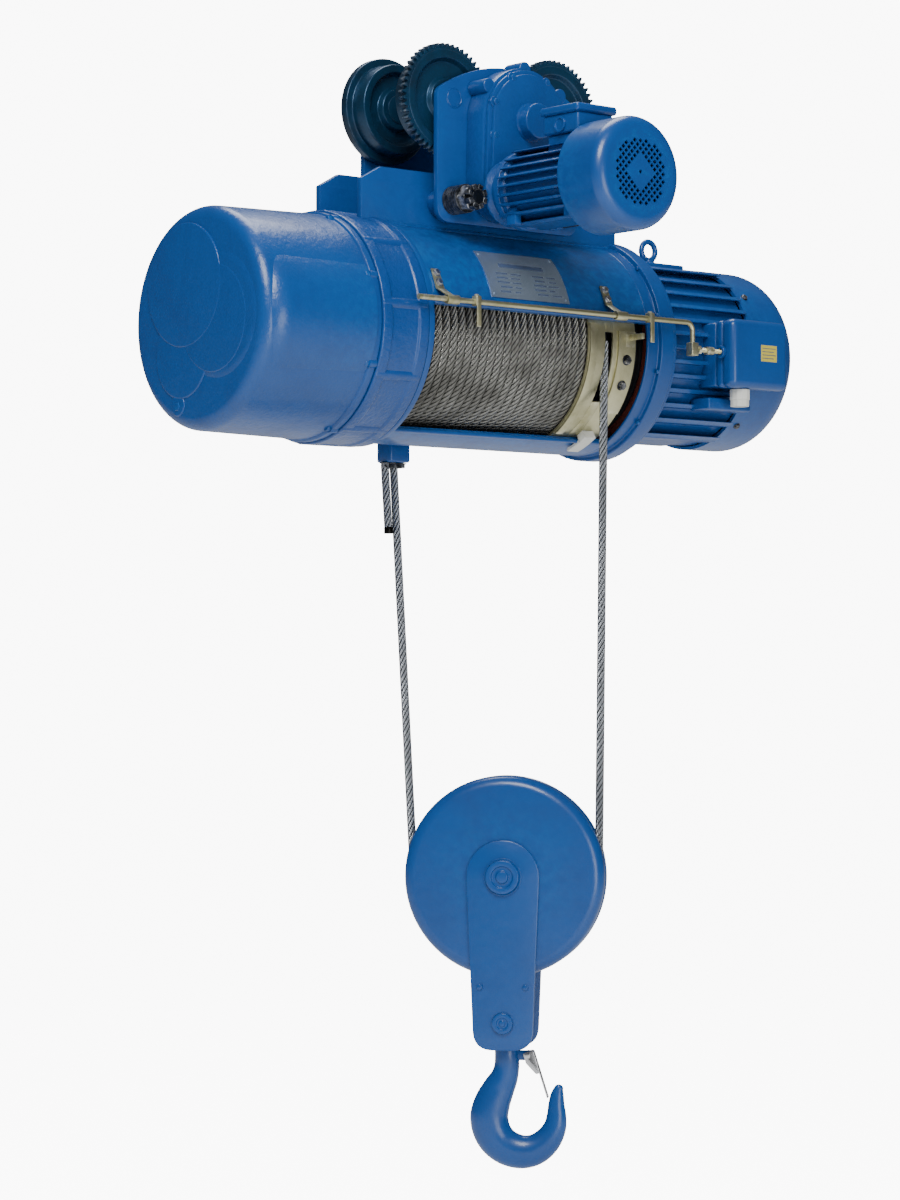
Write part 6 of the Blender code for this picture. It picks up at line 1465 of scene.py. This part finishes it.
    def _hook(self) -> None:
        """Forged hook with its shank, nut and latch lug."""
        spots = ((0.0, 0.0445, 0.0178), (0.0, 0.0, 0.0178), (0.0005, -0.030, 0.0178),
                 (0.0015, -0.050, 0.0181), (0.001, -0.068, 0.0188), (-0.003, -0.084, 0.0208),
                 (-0.0115, -0.101, 0.0240), (-0.0205, -0.121, 0.0270), (-0.0252, -0.143, 0.0285),
                 (-0.0190, -0.167, 0.0280), (-0.0025, -0.1845, 0.0266), (0.0210, -0.1925, 0.0250),
                 (0.0430, -0.1890, 0.0230), (0.0610, -0.1755, 0.0205), (0.0722, -0.1570, 0.0174),
                 (0.0752, -0.1390, 0.0148), (0.0751, -0.1230, 0.0124), (0.0764, -0.1080, 0.0100),
                 (0.0785, -0.0985, 0.0070))
        path, radii = [], []
        for k in range(len(spots) - 1):
            quad = [Vector(spots[max(0, min(len(spots) - 1, k + d))]) for d in (-1, 0, 1, 2)]
            for s in range(6):
                t = s / 6
                point = (quad[1] * 2 + (quad[2] - quad[0]) * t
                         + (quad[0] * 2 - quad[1] * 5 + quad[2] * 4 - quad[3]) * t * t
                         + (quad[1] * 3 - quad[0] - quad[2] * 3 + quad[3]) * t ** 3) / 2
                path.append((point.x, 0.0, point.y))
                radii.append(point.z)
        path.append((spots[-1][0], 0.0, spots[-1][1]))
        radii.append(spots[-1][2])
        made = Solid().tube(path, 0.02, 40, radii=radii, across=Vector((0, 1, 0)))
        for vert in made.bm.verts:
            share = min(1.0, max(0.0, (-0.055 - vert.co.z) / 0.045))
            vert.co.y *= 1.0 - 0.24 * share
        bmesh.ops.create_uvsphere(made.bm, u_segments=24, v_segments=12, radius=0.0069,
                                  matrix=Matrix.Translation((0.0786, 0, -0.0983))
                                  @ Matrix.Diagonal((1.0, 0.78, 0.9, 1.0)))
        made.turned(soften([(0, 0), (0, 0.0074), (0.0128, 0.0074), (0.0128, 0.0)], 0.001, 3, True),
                    (0.033, 0.0064, -0.050), Toward.FRONT, 32)
        made.block((0.010, -0.0060, -0.0572), (0.034, 0.0060, -0.0430), 0.0015, 3)
        for face in made.bm.faces:
            face.smooth = True
        self.show("Hook", made.moved(self.place(self.drop)), PAINT, "hook", body="hook",
                  sharp=math.radians(48))
        nut = Solid().turned(soften([(0.0223, 0.0183), (0.0223, 0.0272), (0.0300, 0.0272),
                                     (0.0302, 0.0250), (0.0398, 0.0250), (0.0398, 0.0183)],
                                    0.001, 3), (0, 0, 0), Toward.UP, 48)
        self.show("Hook nut", nut.moved(self.place(self.drop)), STEEL, "hook_nut", body="hook")

    def _latch(self) -> None:
        """Bent sheet latch on its pin."""
        along = Vector((0.0205, -0.065)).normalized()
        across = Vector((-along.y, along.x))
        length = Vector((0.0205, -0.065)).length

        def spot(run: float, rise: float) -> Point2:
            """Return a point of the latch in the block's plane."""
            point = Vector((0.033, -0.050)) + along * run + across * rise
            return (point.x, point.y)

        cheek = soften([spot(-0.0058, 0.0100), spot(-0.0058, -0.0055), spot(0.010, -0.0058),
                        spot(0.030, 0.0040), spot(0.030, 0.0100)], 0.004, 5)
        made = Solid()
        for side in (-1, 1):
            low, high = sorted((side * 0.0072, side * 0.0085))
            made.plate([cheek], low, high, bevel=0.0003)
        back = soften([spot(-0.004, 0.0088), spot(length, 0.0088), spot(length, 0.0103),
                       spot(-0.004, 0.0103)], 0.0004, 2)
        made.plate([back], -0.0082, 0.0082, bevel=0.0003)
        made.turned(soften([(-0.0104, 0.0), (-0.0104, 0.0042), (-0.0088, 0.0042), (-0.0088, 0.0028),
                            (0.0088, 0.0028), (0.0088, 0.0042), (0.0104, 0.0042), (0.0104, 0.0)],
                           0.0004, 2, True), (0.033, 0, -0.050), Toward.FRONT, 24)
        self.show("Latch", made.moved(self.place(self.drop)), STEEL, "latch", body="latch")


# ------------------------------------------------------------------ rope falls
@dataclass
class Falls(Assembly):
    """The two falls, the dead end's anchor and its tail.

    Attributes:
        radius: rope radius.
        lay: length of one turn of the strands.
    """

    radius: float = 0.0062
    lay: float = ROPE_LAY

    def build(self) -> None:
        """Build both falls and what holds the dead end."""
        turn = math.radians(-48.5)
        side = Vector((math.cos(turn), math.sin(turn), 0.0)) * 0.1386
        centre = Vector((0.0436, -0.0332, -1.0675))
        ends = {"live": (Vector((0.141, -0.1441, DRUM_Z - 0.002)), centre + side),
                "dead": (Vector((-0.069, 0.0935, DRUM_Z - 0.182)), centre - side)}
        for name, (top, low) in ends.items():
            steps = 120
            path = [top.lerp(low, k / steps) for k in range(steps + 1)]
            made = Solid().tube(path, self.radius, 20, lay=self.lay)
            fall = self.show(f"Rope fall {name}", made, ROPE, "rope_fall_" + name, rides=False)
            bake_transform(fall)
        top = DRUM_Z - 0.172
        anchor = Solid().block((-0.088, 0.0765, top - 0.0075), (-0.050, 0.1105, top + 0.022),
                               0.003, 3)
        anchor.block((-0.084, 0.080, top + 0.015), (-0.054, 0.107, top + 0.052), 0.003, 3)
        self.show("Rope anchor", anchor, PAINT, "rope_anchor")
        clamp = Solid()
        for x in (-0.085, -0.054):
            clamp.bolt((x, 0.094, top - 0.0078), Toward.DOWN, 0.013, 0.0060)
        clamp.disc(0, 0.007, 0.0125, (-0.069, 0.0935, top - 0.0160), Toward.UP, 32, 0.001, 3,
                   bore=0.0068)
        self.show("Anchor clamp", clamp, BLACK)
        start = Vector((-0.0825, 0.0975, top - 0.010))
        tail = [start + Vector((0.004, -0.004, -0.100)) * (k / 24) for k in range(25)]
        made = Solid().tube(tail, self.radius, 20, lay=self.lay)
        made.disc(-0.004, 0.006, 0.0068, tuple(tail[-1]), Toward.UP, 28, 0.0008, 2)
        self.show("Rope tail", made, ROPE, "rope_tail")


# ---------------------------------------------------------------------- studio
@dataclass
class Studio:
    """Plain pale floor, soft lights and the camera.

    Attributes:
        floor_z: height of the floor.
        eye: camera position.
        heading: camera heading from +Y towards +X, in degrees.
        pitch: camera pitch upwards, in degrees.
        lens: focal length for a 36 mm long side.
    """

    floor_z: float = -1.75
    eye: Point3 = (-3.2278, -3.8027, -0.7924)
    heading: float = 40.0
    pitch: float = 1.536
    lens: float = 100.67

    def build(self) -> None:
        """Build the studio."""
        mesh = bpy.data.meshes.new("Floor")
        made = bmesh.new()
        bmesh.ops.create_grid(made, x_segments=1, y_segments=1, size=30.0)
        made.to_mesh(mesh)
        made.free()
        material = bpy.data.materials.new("Pale floor")
        material.use_nodes = True
        shader = next(n for n in material.node_tree.nodes if n.type == "BSDF_PRINCIPLED")
        shader.inputs["Base Color"].default_value = (0.92, 0.92, 0.92, 1.0)
        shader.inputs["Roughness"].default_value = 0.9
        shader.inputs["Specular IOR Level"].default_value = 0.1
        shader.inputs["Emission Color"].default_value = (1.0, 1.0, 1.0, 1.0)
        ray = material.node_tree.nodes.new("ShaderNodeLightPath")
        glow = math_node(material.node_tree, "MULTIPLY", ray.outputs["Is Camera Ray"], SEEN_WHITE)
        material.node_tree.links.new(glow, shader.inputs["Emission Strength"])
        mesh.materials.append(material)
        floor = bpy.data.objects.new("Floor", mesh)
        floor.location = (0, 0, self.floor_z)
        bpy.context.scene.collection.objects.link(floor)
        self._world()
        self._light("Key", (-2.4, -2.4, 2.2), (0.0, 0.0, -0.4), 2.0, 165.0)
        self._light("Fill", (-0.9, -4.4, -0.9), (0.1, 0.0, -0.7), 2.2, 60.0)
        self._light("Top", (0.6, 0.9, 2.8), (0.0, 0.0, -0.4), 2.2, 90.0)
        data = bpy.data.cameras.new("Camera")
        data.lens, data.sensor_width = self.lens, 36.0
        camera = bpy.data.objects.new("Camera", data)
        camera.location = self.eye
        camera.rotation_euler = (math.radians(90.0 + self.pitch), 0.0, math.radians(-self.heading))
        bpy.context.scene.collection.objects.link(camera)
        bpy.context.scene.camera = camera

    def _world(self) -> None:
        """White to look at, softer in what it lights."""
        world = bpy.data.worlds.new("Studio")
        world.use_nodes = True
        tree = world.node_tree
        back = next(n for n in tree.nodes if n.type == "BACKGROUND")
        back.inputs["Color"].default_value = (1.0, 1.0, 1.0, 1.0)
        ray = tree.nodes.new("ShaderNodeLightPath")
        seen = math_node(tree, "MULTIPLY", ray.outputs["Is Camera Ray"], SEEN_WHITE)
        shine = math_node(tree, "MULTIPLY", ray.outputs["Is Glossy Ray"], GLOSS_CUT)
        strength = math_node(tree, "ADD", math_node(tree, "ADD", seen, shine), AMBIENT)
        tree.links.new(strength, back.inputs["Strength"])
        bpy.context.scene.world = world

    def _light(self, name: str, at: Point3, target: Point3, size: float, power: float) -> None:
        """Add one soft area light aimed at a point."""
        data = bpy.data.lights.new(name, "AREA")
        data.size, data.energy, data.shape = size, power, "DISK"
        made = bpy.data.objects.new(name, data)
        made.location = at
        made.rotation_euler = (Vector(target) - Vector(at)).to_track_quat("-Z", "Y").to_euler()
        bpy.context.scene.collection.objects.link(made)


def dress_carried_over() -> None:
    """Give every CAD node that stays visible its slot's finish."""
    slots = {s["node"]: s["material_slot"] for s in frame["record"]["subparts"]}
    for name, node in frame["nodes"].items():
        node.data.materials.clear()
        node.data.materials.append(BY_SLOT[slots[name]].material())
        LOG.info("%s keeps its CAD shape", name)


def main() -> None:
    """Build the hoist in order, then the studio."""
    logging.basicConfig(level=logging.INFO, format="%(message)s")
    dress_carried_over()
    for assembly in (Trolley(), Housing(), RopeDrum(), Guide(), Gearbox(), HoistMotor(),
                     LimitGear(), TrolleyDrive(), HookBlock(), Falls()):
        LOG.info("building %s", type(assembly).__name__)
        assembly.build()
    Studio().build()


if __name__ == "__main__":
    main()
